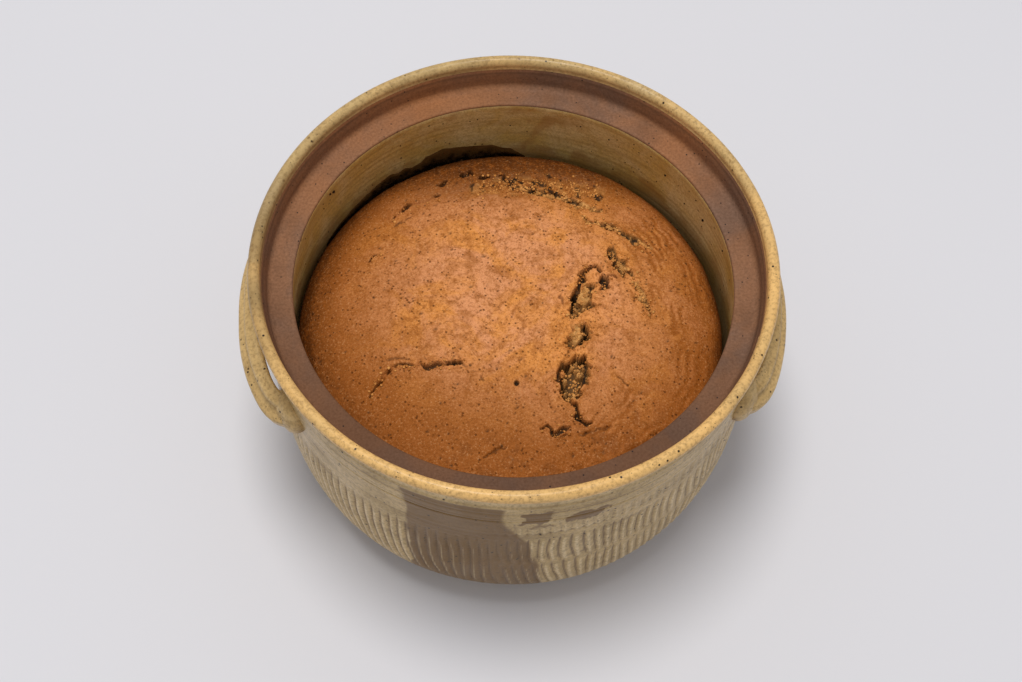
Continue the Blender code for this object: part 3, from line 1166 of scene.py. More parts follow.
@dataclass
class Handle:
    """A pulled strap bent round and pressed on to the wall at both ends."""

    name: str
    turn: float
    width: float = 0.019
    thickness: float = 0.0052
    lean: float = math.radians(24.0)
    height: float = 0.107
    reach: float = 0.1240
    root: float = 0.1105
    half_angle: float = math.radians(30.0)
    corner: float = 11.0
    shoulder: float = 2.3
    ridge_depth: float = 0.0011
    pad_angle: float = math.radians(28.8)
    pad_radii: tuple[float, float, float] = (0.0065, 0.0102, 0.0130)
    pad_reach: float = 0.1170
    pad_height: float = 0.104

    def ring(self) -> Outline:
        """The strap's section: a thin upright oval with ridges pulled along its outer face.

        Returns:
            The corners as (out, up), turned by the lean.
        """
        points = []
        steps = 36
        for i in range(steps + 1):
            along = -0.985 + 1.97 * i / steps
            bulge = math.sqrt(1.0 - abs(along) ** 4)
            ridge = -self.ridge_depth * math.cos(2.0 * math.pi * along) * (1.0 - along ** 8)
            points.append((along * self.width / 2, bulge * self.thickness / 2 + ridge))
        for i in range(15):
            along = 0.97 - 1.94 * i / 14
            points.append((along * self.width / 2, -math.sqrt(1.0 - along ** 4) * self.thickness / 2))
        return [(out * math.cos(self.lean) - up * math.sin(self.lean),
                 out * math.sin(self.lean) + up * math.cos(self.lean)) for up, out in points]

    def middle_line(self, steps: int) -> list[Vector]:
        """Points along the strap, from one root in the wall to the other.

        Args:
            steps: pieces along the strap.

        Returns:
            The points, with the first one at the near root.
        """
        points = []
        for i in range(steps + 1):
            share = math.sin(math.radians(-90.0 + 180.0 * i / steps))
            angle = self.half_angle * share
            away = (1.0 - min(1.0, abs(share)) ** self.corner) ** (1.0 / self.shoulder)
            radius = self.root + (self.reach - self.root) * away
            points.append(Vector((radius * math.cos(angle), radius * math.sin(angle), self.height)))
        return points

    def stations(self) -> list[Matrix]:
        """Where the section stands along the strap: its first axis points away from the pot.

        Returns:
            One placing matrix for each point of the strap.
        """
        line = self.middle_line(90)
        up = Vector((0, 0, 1))
        places = []
        for i, point in enumerate(line):
            along = (line[min(i + 1, len(line) - 1)] - line[max(i - 1, 0)]).normalized()
            out = along.cross(up).normalized()
            turn = Matrix((out, up, -along)).transposed().to_4x4()
            places.append(Matrix.Translation(point) @ turn)
        return places

    def pad(self, side: int) -> bmesh.types.BMesh:
        """The strap's end, pressed flat against the wall as a rounded lobe with a crease.

        Args:
            side: -1 for the end on one side of the handle's middle, 1 for the other.

        Returns:
            The closed lobe.
        """
        angle = side * self.pad_angle
        work = bmesh.new()
        bmesh.ops.create_icosphere(work, subdivisions=5, radius=1.0)
        for vertex in work.verts:
            across, up = vertex.co.y, vertex.co.z
            crease = math.exp(-((across * side + 0.35 + 0.25 * up) / 0.16) ** 2)
            fold = math.exp(-((across * side - 0.25 + 0.2 * up) / 0.10) ** 2)
            vertex.co.x *= 1.0 - 0.20 * crease - 0.10 * fold
            vertex.co.z *= 1.0 - 0.10 * across * side
        bmesh.ops.scale(work, vec=self.pad_radii, verts=work.verts)
        bmesh.ops.rotate(work, cent=(0, 0, 0), matrix=Matrix.Rotation(angle, 3, "Z"), verts=work.verts)
        middle = Vector((self.pad_reach * math.cos(angle), self.pad_reach * math.sin(angle), self.pad_height))
        bmesh.ops.translate(work, vec=middle, verts=work.verts)
        return work

    def build(self, glaze: bpy.types.Material) -> None:
        """The strap and its two pads, each a closed body in one piece.

        Args:
            glaze: the handle's finish.
        """
        strap = swept(self.name, self.ring(), self.stations())
        work = bmesh.new()
        work.from_mesh(strap.data)
        for side in (-1, 1):
            pad = self.pad(side)
            mesh = bpy.data.meshes.new("pad")
            pad.to_mesh(mesh)
            pad.free()
            work.from_mesh(mesh)
            bpy.data.meshes.remove(mesh)
        bmesh.ops.rotate(work, cent=(0, 0, 0), matrix=Matrix.Rotation(self.turn, 3, "Z"), verts=work.verts)
        work.to_mesh(strap.data)
        work.free()
        mesh = strap.data
        mesh.shade_smooth()
        coords = coords_of(mesh)
        wander = Wander(23)
        uneven = wander.at(coords, 22.0 * MM) * 0.35 * MM + wander.at(coords, 7.0 * MM) * 0.10 * MM
        move_to(mesh, coords + normals_of(mesh) * uneven[:, None])
        reach = np.hypot(coords[:, 0], coords[:, 1])
        # painted highlight on the strap's outer face; painted shade on the strap near the wall and underneath
        mark(mesh, "pale_and_highlight", 0.35 * ease(0.1275, 0.1295, reach))
        mark(mesh, "groove", 0.75 * ease(0.1215, 0.1180, reach) * ease(0.112, 0.096, coords[:, 2]))
        # an even honey tone on the handle
        mark(mesh, "honey_and_painted_light", np.full(len(coords), 0.25))
        hand_over(strap, glaze)


# ---------------------------------------------------------------------------------------------
# The pudding
# ---------------------------------------------------------------------------------------------


class Tear(Enum):
    """How a crack opened."""

    TORN = "torn wide, with moist crumb standing in it"
    CLEFT = "a deep ragged cleft, black inside"
    SPLIT = "a narrow dark split"
    SKIN = "a fine line in the skin only"


@dataclass(frozen=True)
class Crack:
    """One crack in the crust."""

    tear: Tear
    width: float
    depth: float
    route: tuple[tuple[float, float], ...]

    def reach(self, along: Array, wander: Wander, places: Array) -> Array:
        """Half width at each place: full in the middle, thin at the ends, uneven between.

        Args:
            along: fractions from 0 at the crack's start to 1 at its end.
            wander: the noise that makes its sides ragged.
            places: flat places on the round sheet.

        Returns:
            Half widths in metres.
        """
        taper = 0.30 + 0.70 * np.sqrt(np.clip(np.sin(math.pi * along), 0.0, 1.0))
        uneven = 1.0 + 0.50 * wander.at(places, 4.5 * MM) + 0.30 * wander.at(places, 1.8 * MM)
        return self.width / 2 * taper * uneven


def cracked(tear: Tear, width: float, depth: float, *route: tuple[float, float]) -> Crack:
    """A crack given in millimetres.

    Args:
        tear: how it opened.
        width: its full width.
        depth: its depth.
        route: the corners it runs through, seen from above.

    Returns:
        The crack in metres.
    """
    corners = tuple((round(x * MM, 7), round(y * MM, 7)) for x, y in route)
    return Crack(tear, round(width * MM, 7), round(depth * MM, 7), corners)


CRACKS = (
    # The main tear: three openings with bridges of crust between them.
    cracked(Tear.TORN, 9.6, 5.2, (38.8, 10.0), (35.0, 4.5), (32.0, -1.0), (27.5, -6.8)),
    cracked(Tear.TORN, 11.2, 5.6, (34.5, -12.5), (30.5, -17.5), (25.0, -22.0)),
    cracked(Tear.TORN, 12.4, 5.8, (31.0, -29.5), (27.5, -35.5), (25.8, -42.0), (24.0, -50.0)),
    cracked(Tear.CLEFT, 2.6, 4.5, (43.5, 18.5), (40.0, 20.5), (36.2, 19.5), (34.0, 15.3), (31.8, 9.0),
          (29.2, 4.0), (27.2, -4.0)),
    cracked(Tear.CLEFT, 3.4, 5.0, (43.6, 17.5), (44.6, 13.1), (45.2, 9.6), (42.8, 7.5)),
    cracked(Tear.CLEFT, 2.4, 3.5, (44.8, 15.0), (47.2, 16.1), (50.0, 14.8)),
    cracked(Tear.CLEFT, 3.2, 5.0, (33.7, -10.6), (35.2, -13.9), (32.6, -18.3), (30.0, -21.8), (27.6, -24.5),
          (25.0, -23.8)),
    cracked(Tear.CLEFT, 3.2, 5.5, (33.4, -28.9), (29.2, -29.4), (25.0, -32.5), (21.2, -36.1), (20.0, -41.2),
          (20.8, -46.3), (23.3, -50.8)),
    cracked(Tear.CLEFT, 3.0, 4.5, (24.0, -49.0), (26.2, -53.2), (27.5, -57.1), (28.1, -59.8), (31.0, -61.2),
          (33.6, -60.9)),
    cracked(Tear.CLEFT, 2.4, 3.0, (9.5, -65.0), (13.0, -63.2), (16.0, -67.4), (19.7, -65.2), (24.0, -63.6)),
    cracked(Tear.SPLIT, 1.8, 2.0, (15.0, -64.0), (18.5, -69.0), (22.5, -67.5)),
    # The arm that runs up to the right, and its thinner tail.
    cracked(Tear.TORN, 6.8, 3.6, (49.5, 33.0), (50.8, 27.5), (52.6, 22.8), (55.0, 19.0), (59.5, 15.5)),
    cracked(Tear.CLEFT, 2.6, 4.0, (48.0, 31.0), (49.2, 26.0), (50.5, 21.5), (53.0, 17.2)),
    cracked(Tear.TORN, 3.4, 2.8, (59.6, 12.5), (60.8, 9.1), (62.7, 3.4), (64.7, -1.5), (66.8, -5.5)),
    # Across the far side.
    cracked(Tear.TORN, 4.0, 3.2, (37.1, 53.2), (40.3, 48.7), (45.2, 47.6), (51.1, 45.3), (57.2, 40.6),
          (64.3, 36.2), (70.0, 34.0)),
    cracked(Tear.CLEFT, 2.8, 4.2, (-34.5, 75.5), (-32.0, 77.5), (-29.5, 78.2)),
    cracked(Tear.CLEFT, 3.0, 4.2, (-21.5, 80.0), (-21.0, 83.5), (-18.5, 84.8), (-17.0, 82.0)),
    cracked(Tear.CLEFT, 3.4, 4.8, (-13.5, 80.0), (-10.5, 80.6), (-7.5, 81.2)),
    cracked(Tear.CLEFT, 2.4, 3.5, (-5.0, 81.0), (-2.0, 81.2), (0.0, 76.5), (3.5, 76.0)),
    cracked(Tear.TORN, 4.6, 2.6, (6.0, 73.0), (12.0, 69.0), (19.0, 66.2), (26.4, 65.5), (33.7, 61.3),
          (40.9, 57.5), (46.0, 56.0)),
    cracked(Tear.SPLIT, 2.2, 2.8, (-58.0, 53.0), (-53.0, 58.0), (-49.0, 63.0), (-43.0, 64.0),
          (-34.0, 69.0)),
    cracked(Tear.SKIN, 1.4, 0.9, (-57.0, 50.0), (-52.0, 52.5), (-47.0, 55.5)),
    cracked(Tear.SPLIT, 2.0, 2.2, (-70.5, 29.0), (-68.6, 29.4), (-65.5, 32.5), (-63.7, 33.6)),
    # The curved split on the left, with loose skin above it.
    cracked(Tear.SPLIT, 2.6, 4.0, (-67.4, -44.4), (-64.1, -39.0), (-60.8, -34.4), (-57.2, -31.8)),
    cracked(Tear.SPLIT, 1.6, 1.8, (-57.2, -31.8), (-53.8, -30.6), (-49.0, -31.0), (-44.5, -31.4)),
    cracked(Tear.CLEFT, 3.4, 4.2, (-44.5, -31.4), (-40.5, -31.8), (-36.6, -31.4), (-30.5, -31.3),
          (-24.9, -30.0)),
    cracked(Tear.SKIN, 1.2, 0.8, (-64.0, -29.0), (-56.0, -27.0), (-47.0, -27.5), (-40.0, -28.5)),
    cracked(Tear.SKIN, 1.2, 0.7, (-25.0, -30.0), (-19.0, -36.0), (-13.0, -42.0), (-9.0, -44.0)),
    cracked(Tear.SKIN, 1.5, 1.2, (-17.0, -76.0), (-12.0, -73.5), (-6.0, -73.0)),
    cracked(Tear.SKIN, 1.4, 1.2, (22.8, 6.0), (23.6, 2.0), (25.2, -3.0), (26.8, -6.2), (28.4, -2.0)),
    cracked(Tear.SKIN, 1.2, 0.9, (53.0, -3.0), (56.0, 1.0), (58.5, 4.0)),
    cracked(Tear.SKIN, 1.2, 0.9, (47.0, -37.0), (50.0, -42.0), (54.0, -46.0)),
    cracked(Tear.SKIN, 1.3, 0.9, (26.0, -69.0), (36.0, -64.0), (46.0, -62.0)),
)


@dataclass
class Pudding:
    """The baked sponge: a low dome that has shrunk from the wall and torn open as it rose."""

    crown: float = 0.100
    shoulder: float = 0.0735
    edge_radius: float = 0.1030
    flatness: float = 3.0
    roundness: float = 2.2
    wall_radius: float = 0.1068
    grid_step: float = 0.00092
    pinhole: tuple[float, float] = (0.0, -0.042)
    far_tear: tuple[tuple[float, float], ...] = ((-0.012, 0.0740), (0.008, 0.0735), (0.026, 0.0735),
                                                 (0.042, 0.0700))
    wander: Wander = field(default_factory=lambda: Wander(31))
    other: Wander = field(default_factory=lambda: Wander(47))

    def edge_at(self, angle: Array) -> Array:
        """Radius of the crust's edge: close to the wall at the back, clear of it on the right.

        Args:
            angle: angles round the pot.

        Returns:
            One radius for each angle.
        """
        degrees = np.degrees(angle)
        gap = np.interp(degrees, [-180, -120, -70, -35, -12, 26, 60, 85, 135, 180],
                        [1.7, 1.9, 2.1, 2.4, 3.0, 3.0, 1.6, 0.9, 0.9, 1.7]) * MM
        sway = np.stack([np.cos(angle), np.sin(angle), angle * 0], axis=1)
        return self.wall_radius - 0.5 * MM - gap + 0.35 * MM * self.wander.at(sway, 0.12)

    def dome(self, share: Array) -> Array:
        """Height of the smooth dome.

        Args:
            share: how far each place is on its way from the middle to the edge, from 0 to 1.

        Returns:
            One height for each place.
        """
        rise = self.crown - self.shoulder
        return self.shoulder + rise * (1.0 - np.clip(share, 0, 1) ** self.flatness) ** (1.0 / self.roundness)

    def sheet(self) -> bmesh.types.BMesh:
        """A round sheet of even squares, finer along the cracks and round the deep pinhole.

        Returns:
            The flat sheet with its border open.
        """
        count = round(2.0 * self.edge_radius / self.grid_step)
        work = bmesh.new()
        bmesh.ops.create_grid(work, x_segments=count, y_segments=count, size=1.0)
        for vertex in work.verts:
            x, y = vertex.co.x, vertex.co.y
            vertex.co.x = x * math.sqrt(1.0 - y * y / 2.0) * self.edge_radius
            vertex.co.y = y * math.sqrt(1.0 - x * x / 2.0) * self.edge_radius
        places = np.array([vertex.co[:] for vertex in work.verts])
        near = np.zeros(len(places), bool)
        for crack in CRACKS:
            away, _ = distance_to_route(places, crack.route)
            near |= away < crack.width / 2 + 2.2 * MM
        near |= np.linalg.norm(places[:, :2] - np.array(self.pinhole), axis=1) < 4.0 * MM
        work.verts.ensure_lookup_table()
        fine = [edge for edge in work.edges if near[edge.verts[0].index] and near[edge.verts[1].index]]
        bmesh.ops.subdivide_edges(work, edges=fine, cuts=1, use_grid_fill=True)
        return work

    def close(self, work: bmesh.types.BMesh) -> None:
        """Draw the sheet's border down the side and in under, to a closed bottom.

        Args:
            work: the sheet, which is closed in place.
        """
        loop = [edge for edge in work.edges if edge.is_boundary]
        sides = ((1.002, -0.004), (1.003, -0.008), (1.004, -0.014), (1.004, -0.030), (0.985, -0.045),
                 (0.90, -0.060), (0.70, -0.0628), (0.40, -0.0628), (0.0, -0.0628))
        for scale, drop in sides:
            grown = bmesh.ops.extrude_edge_only(work, edges=loop)["geom"]
            fresh = [part for part in grown if isinstance(part, bmesh.types.BMVert)]
            loop = [part for part in grown if isinstance(part, bmesh.types.BMEdge) and part.is_boundary]
            for vertex in fresh:
                reach = vertex.co.xy.length
                vertex.co.xy *= self.edge_radius * scale / max(reach, 1e-6)
                vertex.co.z = drop
        last = {vertex for edge in loop for vertex in edge.verts}
        bmesh.ops.remove_doubles(work, verts=list(last), dist=0.01 * MM)
        bmesh.ops.recalc_face_normals(work, faces=work.faces)

    def far_crumb(self, places: Array) -> Array:
        """The rough, torn strip along the far side of the dome.

        Args:
            places: flat places on the round sheet.

        Returns:
            Share of the strip at each place.
        """
        away, _ = distance_to_route(places, self.far_tear)
        ragged = 2.6 * MM * self.wander.layered(places, 6.0 * MM, 3)
        return ease(7.6 * MM, 5.6 * MM, away + ragged)

    def swell(self, flat: Array) -> tuple[Array, Array, Array]:
        """The unbroken skin: swollen, terraced, rippled on the right and rough at the front.

        Args:
            flat: places on the round sheet, at height 0.

        Returns:
            Lift in metres, the strength of the ripples' crests and the share of the rough front edge.
        """
        x, y = flat[:, 0], flat[:, 1]
        radius, angle = np.hypot(x, y), np.arctan2(y, x)
        lift = 0.9 * MM * self.wander.at(flat, 46.0 * MM) + 0.50 * MM * self.wander.at(flat, 19.0 * MM)
        lift += 0.22 * MM * self.other.at(flat, 7.0 * MM) + 0.13 * MM * self.wander.at(flat, 3.2 * MM)
        lift += 0.10 * MM * self.other.at(flat, 1.9 * MM)
        hollow = np.hypot(x + 0.020, (y - 0.020) * 1.15)
        terrace = np.sin((hollow + 3.0 * MM * self.wander.at(flat, 30.0 * MM)) / (15.0 * MM) * 2.0 * math.pi)
        lift += 0.26 * MM * terrace * between(0.038, 0.078, 6.0 * MM, hollow) * ease(0.02, -0.02, x - y)
        bent = radius + 3.2 * MM * self.other.layered(flat, 12.0 * MM, 3)
        folds = np.sin(bent / (4.4 * MM) * 2.0 * math.pi) * ease(-0.3, 0.4, self.wander.at(flat, 9.0 * MM))
        rippled = between(-1.20, 0.62, 0.22, angle) * between(0.066, 0.100, 6.0 * MM, radius)
        lift -= 0.42 * MM * folds * rippled
        front = between(-2.0, -0.75, 0.35, angle) * between(0.070, 0.102, 7.0 * MM, radius)
        lift += 0.38 * MM * front * self.other.layered(flat, 3.6 * MM, 3)
        return lift, rippled * np.clip(folds, 0.0, 1.0), front

    def tears(self, flat: Array) -> tuple[Array, Array, Array, Array]:
        """Every crack, cut into the skin with a raised lip beside it.

        Args:
            flat: places on the round sheet, at height 0.

        Returns:
            Lift in metres, and the values crumb, cleft and golden.
        """
        drift = np.stack([self.wander.layered(flat, 3.6 * MM, 4), self.other.layered(flat, 3.6 * MM, 4),
                          np.zeros(len(flat))], axis=1)
        warped = flat + drift * 1.30 * MM
        lift, crumb, shaded_cleft, golden = np.zeros((4, len(flat)))
        lumps = self.other.layered(flat, 4.4 * MM, 4)
        gaps = ease(-0.25, 0.10, self.wander.at(flat, 4.0 * MM))
        bridges = ease(-0.10, 0.30, self.other.at(flat, 3.0 * MM) + 0.22)
        for crack in CRACKS:
            away, along = distance_to_route(warped, crack.route)
            inside = away / np.maximum(crack.reach(along, self.wander, flat), 0.1 * MM)
            if crack.tear is not Tear.SKIN:
                lift += 0.35 * MM * np.exp(-((inside - 1.35) / 0.35) ** 2)
            if crack.tear is Tear.TORN:
                open_here = ease(1.0, 0.82, inside)
                seam = np.exp(-((inside - 0.80) / 0.16) ** 2) * gaps
                pit = np.clip(0.85 * seam + 0.9 * ease(0.02, 0.36, -lumps) + 0.16, 0.0, 1.0)
                black = np.clip(0.9 * seam + 0.85 * ease(0.14, 0.36, -lumps), 0.0, 1.0)
                lift -= open_here * crack.depth * pit
                crumb = np.maximum(crumb, open_here)
                # painted shade: black in the torn openings' seams and deep hollows
                shaded_cleft = np.maximum(shaded_cleft, open_here * black)
                golden = np.maximum(golden, 0.85 * ease(14.0 * MM, 2.0 * MM, away))
            else:
                deep = crack.tear is Tear.CLEFT
                cut = ease(1.0, 0.62 if deep else 0.35, inside)
                broken = 0.65 + 0.35 * bridges if deep else bridges
                lift -= cut * crack.depth * (0.35 + 0.65 * broken)
                strength = {Tear.CLEFT: 1.3, Tear.SPLIT: 0.95}.get(crack.tear, 0.55)
                # painted shade: black inside clefts and splits
                shaded_cleft = np.maximum(shaded_cleft, np.minimum(strength * cut * (0.10 + 0.90 * broken), 1.0))
                golden = np.maximum(golden, 0.45 * ease(8.0 * MM, 1.0 * MM, away))
        return lift, crumb, shaded_cleft, golden

    def browning(self, flat: Array, crests: Array, front: Array) -> tuple[Array, Array]:
        """How the oven coloured the skin, with painted shade by the wall: browner to the edge, nearly burnt
        at the far side.

        Args:
            flat: places on the round sheet, at height 0.
            crests: strength of the ripples' crests.
            front: share of the rough front edge.

        Returns:
            The values edge and burn.
        """
        x, y = flat[:, 0], flat[:, 1]
        radius = np.hypot(x, y)
        tilted = np.hypot(x - 0.006, (y - 0.010) * 1.02) + 5.0 * MM * self.wander.at(flat, 16.0 * MM)
        tilted += 4.0 * MM * self.other.layered(flat, 11.0 * MM, 3)
        # browner toward the edge: browning and painted shade by the wall
        edge = 0.55 * ease(0.034, 0.075, tilted) + 0.52 * ease(0.068, 0.098, tilted)
        # painted shade over the front of the crust; browner crests of the ripples
        edge += 0.30 * ease(-0.020, -0.060, y) * ease(0.045, 0.0, x) + 1.10 * crests
        # browning and painted shade in the gap at the crust's rim and along its left edge
        rim = ease(0.0945, 0.1030, radius + 1.2 * MM * self.other.at(flat, 5.0 * MM))
        rim += 0.85 * ease(0.078, 0.101, radius) * ease(-0.30, -0.85, x / radius.clip(1e-6))
        # browning and painted shade of the back wall at the far side
        far = 0.98 * ease(0.056, 0.090, y + 2.0 * MM * self.other.at(flat, 9.0 * MM))
        near = 0.35 * front * ease(-0.1, 0.5, self.other.layered(flat, 4.0 * MM, 3))
        return np.clip(0.90 * edge, 0, 1), np.maximum.reduce([0.9 * np.clip(rim, 0, 1), far, near])

    def relief(self, places: Array) -> dict[str, Array]:
        """Everything that shapes and colours the crust, worked out at each place.

        Args:
            places: flat places on the round sheet.

        Returns:
            lift in metres, and the values crumb, cleft, pore, golden, edge and burn.
        """
        x, y = places[:, 0], places[:, 1]
        flat = np.stack([x, y, 0 * x], axis=1)
        lift, crests, front = self.swell(flat)
        torn_lift, crumb, shaded_cleft, golden = self.tears(flat)
        lift += torn_lift
        hole = np.hypot(x - self.pinhole[0], y - self.pinhole[1]) + 0.5 * MM * self.wander.at(flat, 1.5 * MM)
        lift -= 2.0 * MM * ease(1.7 * MM, 0.6 * MM, hole)
        # painted shade in the deep pinhole
        shaded_cleft = np.maximum(shaded_cleft, ease(1.8 * MM, 1.0 * MM, hole))

        far = self.far_crumb(flat)
        lift += far * (-0.9 * MM + 0.75 * MM * self.other.layered(flat, 3.6 * MM, 3))
        golden = np.maximum(golden, 0.9 * far)
        # painted shade in the holes of the far strip
        shaded_cleft = np.maximum(shaded_cleft, 0.95 * far * ease(0.20, 0.42, -self.other.layered(flat, 2.8 * MM, 3)))
        crumb = np.maximum(crumb, 0.30 * far * ease(-0.1, 0.4, self.wander.layered(flat, 4.0 * MM, 2)))

        shaded_pit = self.shaded_pits(flat)
        lift -= 0.7 * MM * shaded_pit
        ochre = between(0.052, 0.092, 9.0 * MM, np.hypot(x, y))
        ochre *= 0.50 + 0.5 * self.wander.at(flat, 24.0 * MM)
        golden = np.maximum(golden, 0.65 * ochre)
        edge, burn_and_shade = self.browning(flat, crests, front)
        return {"lift": lift, "crumb": crumb, "shaded_cleft": shaded_cleft, "shaded_pit": shaded_pit, "golden": golden * 0.9,
                "edge": edge, "burn_and_shade": burn_and_shade}

    def shaded_pits(self, places: Array) -> Array:
        """Burst bubbles scattered over the skin: little pits, dark with painted shade.

        Args:
            places: flat places on the round sheet.

        Returns:
            How dark each place is.
        """
        draw = np.random.default_rng(91)
        count = 150
        reach = np.sqrt(draw.uniform(0.0, 1.0, count)) * 0.096
        angle = draw.uniform(0.0, 2.0 * math.pi, count)
        sizes = draw.uniform(0.45, 1.05, count) * MM
        dark = np.zeros(len(places))
        for spot_reach, spot_angle, size in zip(reach, angle, sizes):
            spot_x, spot_y = spot_reach * math.cos(spot_angle), spot_reach * math.sin(spot_angle)
            beside = np.abs(places[:, 0] - spot_x) < size
            close = np.flatnonzero(beside & (np.abs(places[:, 1] - spot_y) < size))
            away = np.hypot(places[close, 0] - spot_x, places[close, 1] - spot_y)
            dark[close] = np.maximum(dark[close], ease(size, 0.35 * size, away))
        return 0.8 * dark

    def surface_at(self, places: Array) -> Array:
        """Height of the finished crust above flat places."""
        share = np.hypot(places[:, 0], places[:, 1]) / self.edge_radius
        return self.dome(share) + self.relief(places)["lift"] * ease(1.0, 0.94, share)

    def build(self, crust: bpy.types.Material) -> None:
        """The crust with its cracks, over one closed body.

        Args:
            crust: its finish.
        """
        work = self.sheet()
        self.close(work)
        made = piece_from("pudding_crust", work)
        mesh = made.data
        coords = coords_of(mesh)
        below = coords[:, 2] < -0.001
        radius = np.hypot(coords[:, 0], coords[:, 1])
        angle = np.arctan2(coords[:, 1], coords[:, 0])
        share = radius / self.edge_radius
        marks = self.relief(coords * np.array([1.0, 1.0, 0.0]))
        height = self.dome(share) + marks["lift"] * ease(1.0, 0.94, share)
        stretch = np.where(below, 1.0, self.edge_at(angle) / self.edge_radius)
        stretch = 1.0 + (stretch - 1.0) * ease(0.55, 1.0, share)
        upper_side = below & (coords[:, 2] > -0.010)
        stretch = np.where(upper_side, self.edge_at(angle) / self.edge_radius, stretch)
        coords[:, 0] *= stretch
        coords[:, 1] *= stretch
        coords[:, 2] = np.where(below, self.shoulder + coords[:, 2] + 0.0007, height)
        move_to(mesh, coords)
        for name in ("crumb", "shaded_cleft", "shaded_pit", "golden", "edge"):
            mark(mesh, name, np.where(below, 0.0, marks[name]))
        # the crust's sides in the gap by the wall: black, painted shade
        mark(mesh, "burn_and_shade", np.where(below, 1.0, marks["burn_and_shade"]))
        hand_over(made, crust, "pudding")

    def scatter(self, routes: Sequence[Crack], per_metre: float, spread: float, seed: int) -> Array:
        """Places strewn along cracks.

        Args:
            routes: the cracks.
            per_metre: how many places each metre of crack gets.
            spread: how far they stray sideways, as a share of the crack's width.
            seed: start of the random draws.

        Returns:
            The places at height 0, one row each.
        """
        draw = np.random.default_rng(seed)
        found = []
        for crack in routes:
            corners = np.array(crack.route)
            runs = np.hypot(*np.diff(corners, axis=0).T)
            count = int(runs.sum() * per_metre)
            marks = np.sort(draw.uniform(0.0, runs.sum(), count))
            along = np.concatenate([[0.0], np.cumsum(runs)])
            middle = np.column_stack([np.interp(marks, along, corners[:, axis]) for axis in (0, 1)])
            found.append(middle + draw.normal(0.0, spread * crack.width, middle.shape))
        flat = np.concatenate(found)
        return np.column_stack([flat, np.zeros(len(flat))])

    def build_crumbs(self, moist: bpy.types.Material, dry: bpy.types.Material) -> None:
        """Lumps of crumb standing in the tears, and dry crumbs along their edges and on the far strip.

        Args:
            moist: finish of the lumps.
            dry: finish of the dry crumbs.
        """
        draw = np.random.default_rng(17)
        torn = [crack for crack in CRACKS if crack.tear is Tear.TORN and crack.depth > 0.0025]
        places = self.scatter(torn, 2600.0, 0.20, 71)
        sizes = draw.uniform(0.28, 0.92, len(places)) * MM
        places[:, 2] = self.surface_at(places) + 0.02 * sizes
        hand_over(grains("torn_crumb", places, sizes, 72, 2), moist)

        beside = self.scatter([crack for crack in CRACKS if crack.tear is not Tear.SKIN], 1700.0, 0.55, 73)
        strip_count = 620
        across = draw.uniform(-0.016, 0.046, strip_count)
        up = 0.0735 - 0.0009 * (across / 0.02) ** 2 + draw.normal(0, 0.0036, strip_count)
        strip = np.column_stack([across, up, np.zeros(strip_count)])
        places = np.concatenate([beside, strip])
        sizes = draw.gamma(2.4, 0.13, len(places)) * MM + 0.12 * MM
        places[:, 2] = self.surface_at(places) + 0.30 * sizes
        hand_over(grains("dry_crumbs", places, np.clip(sizes, 0, 0.9 * MM), 74, 1), dry)


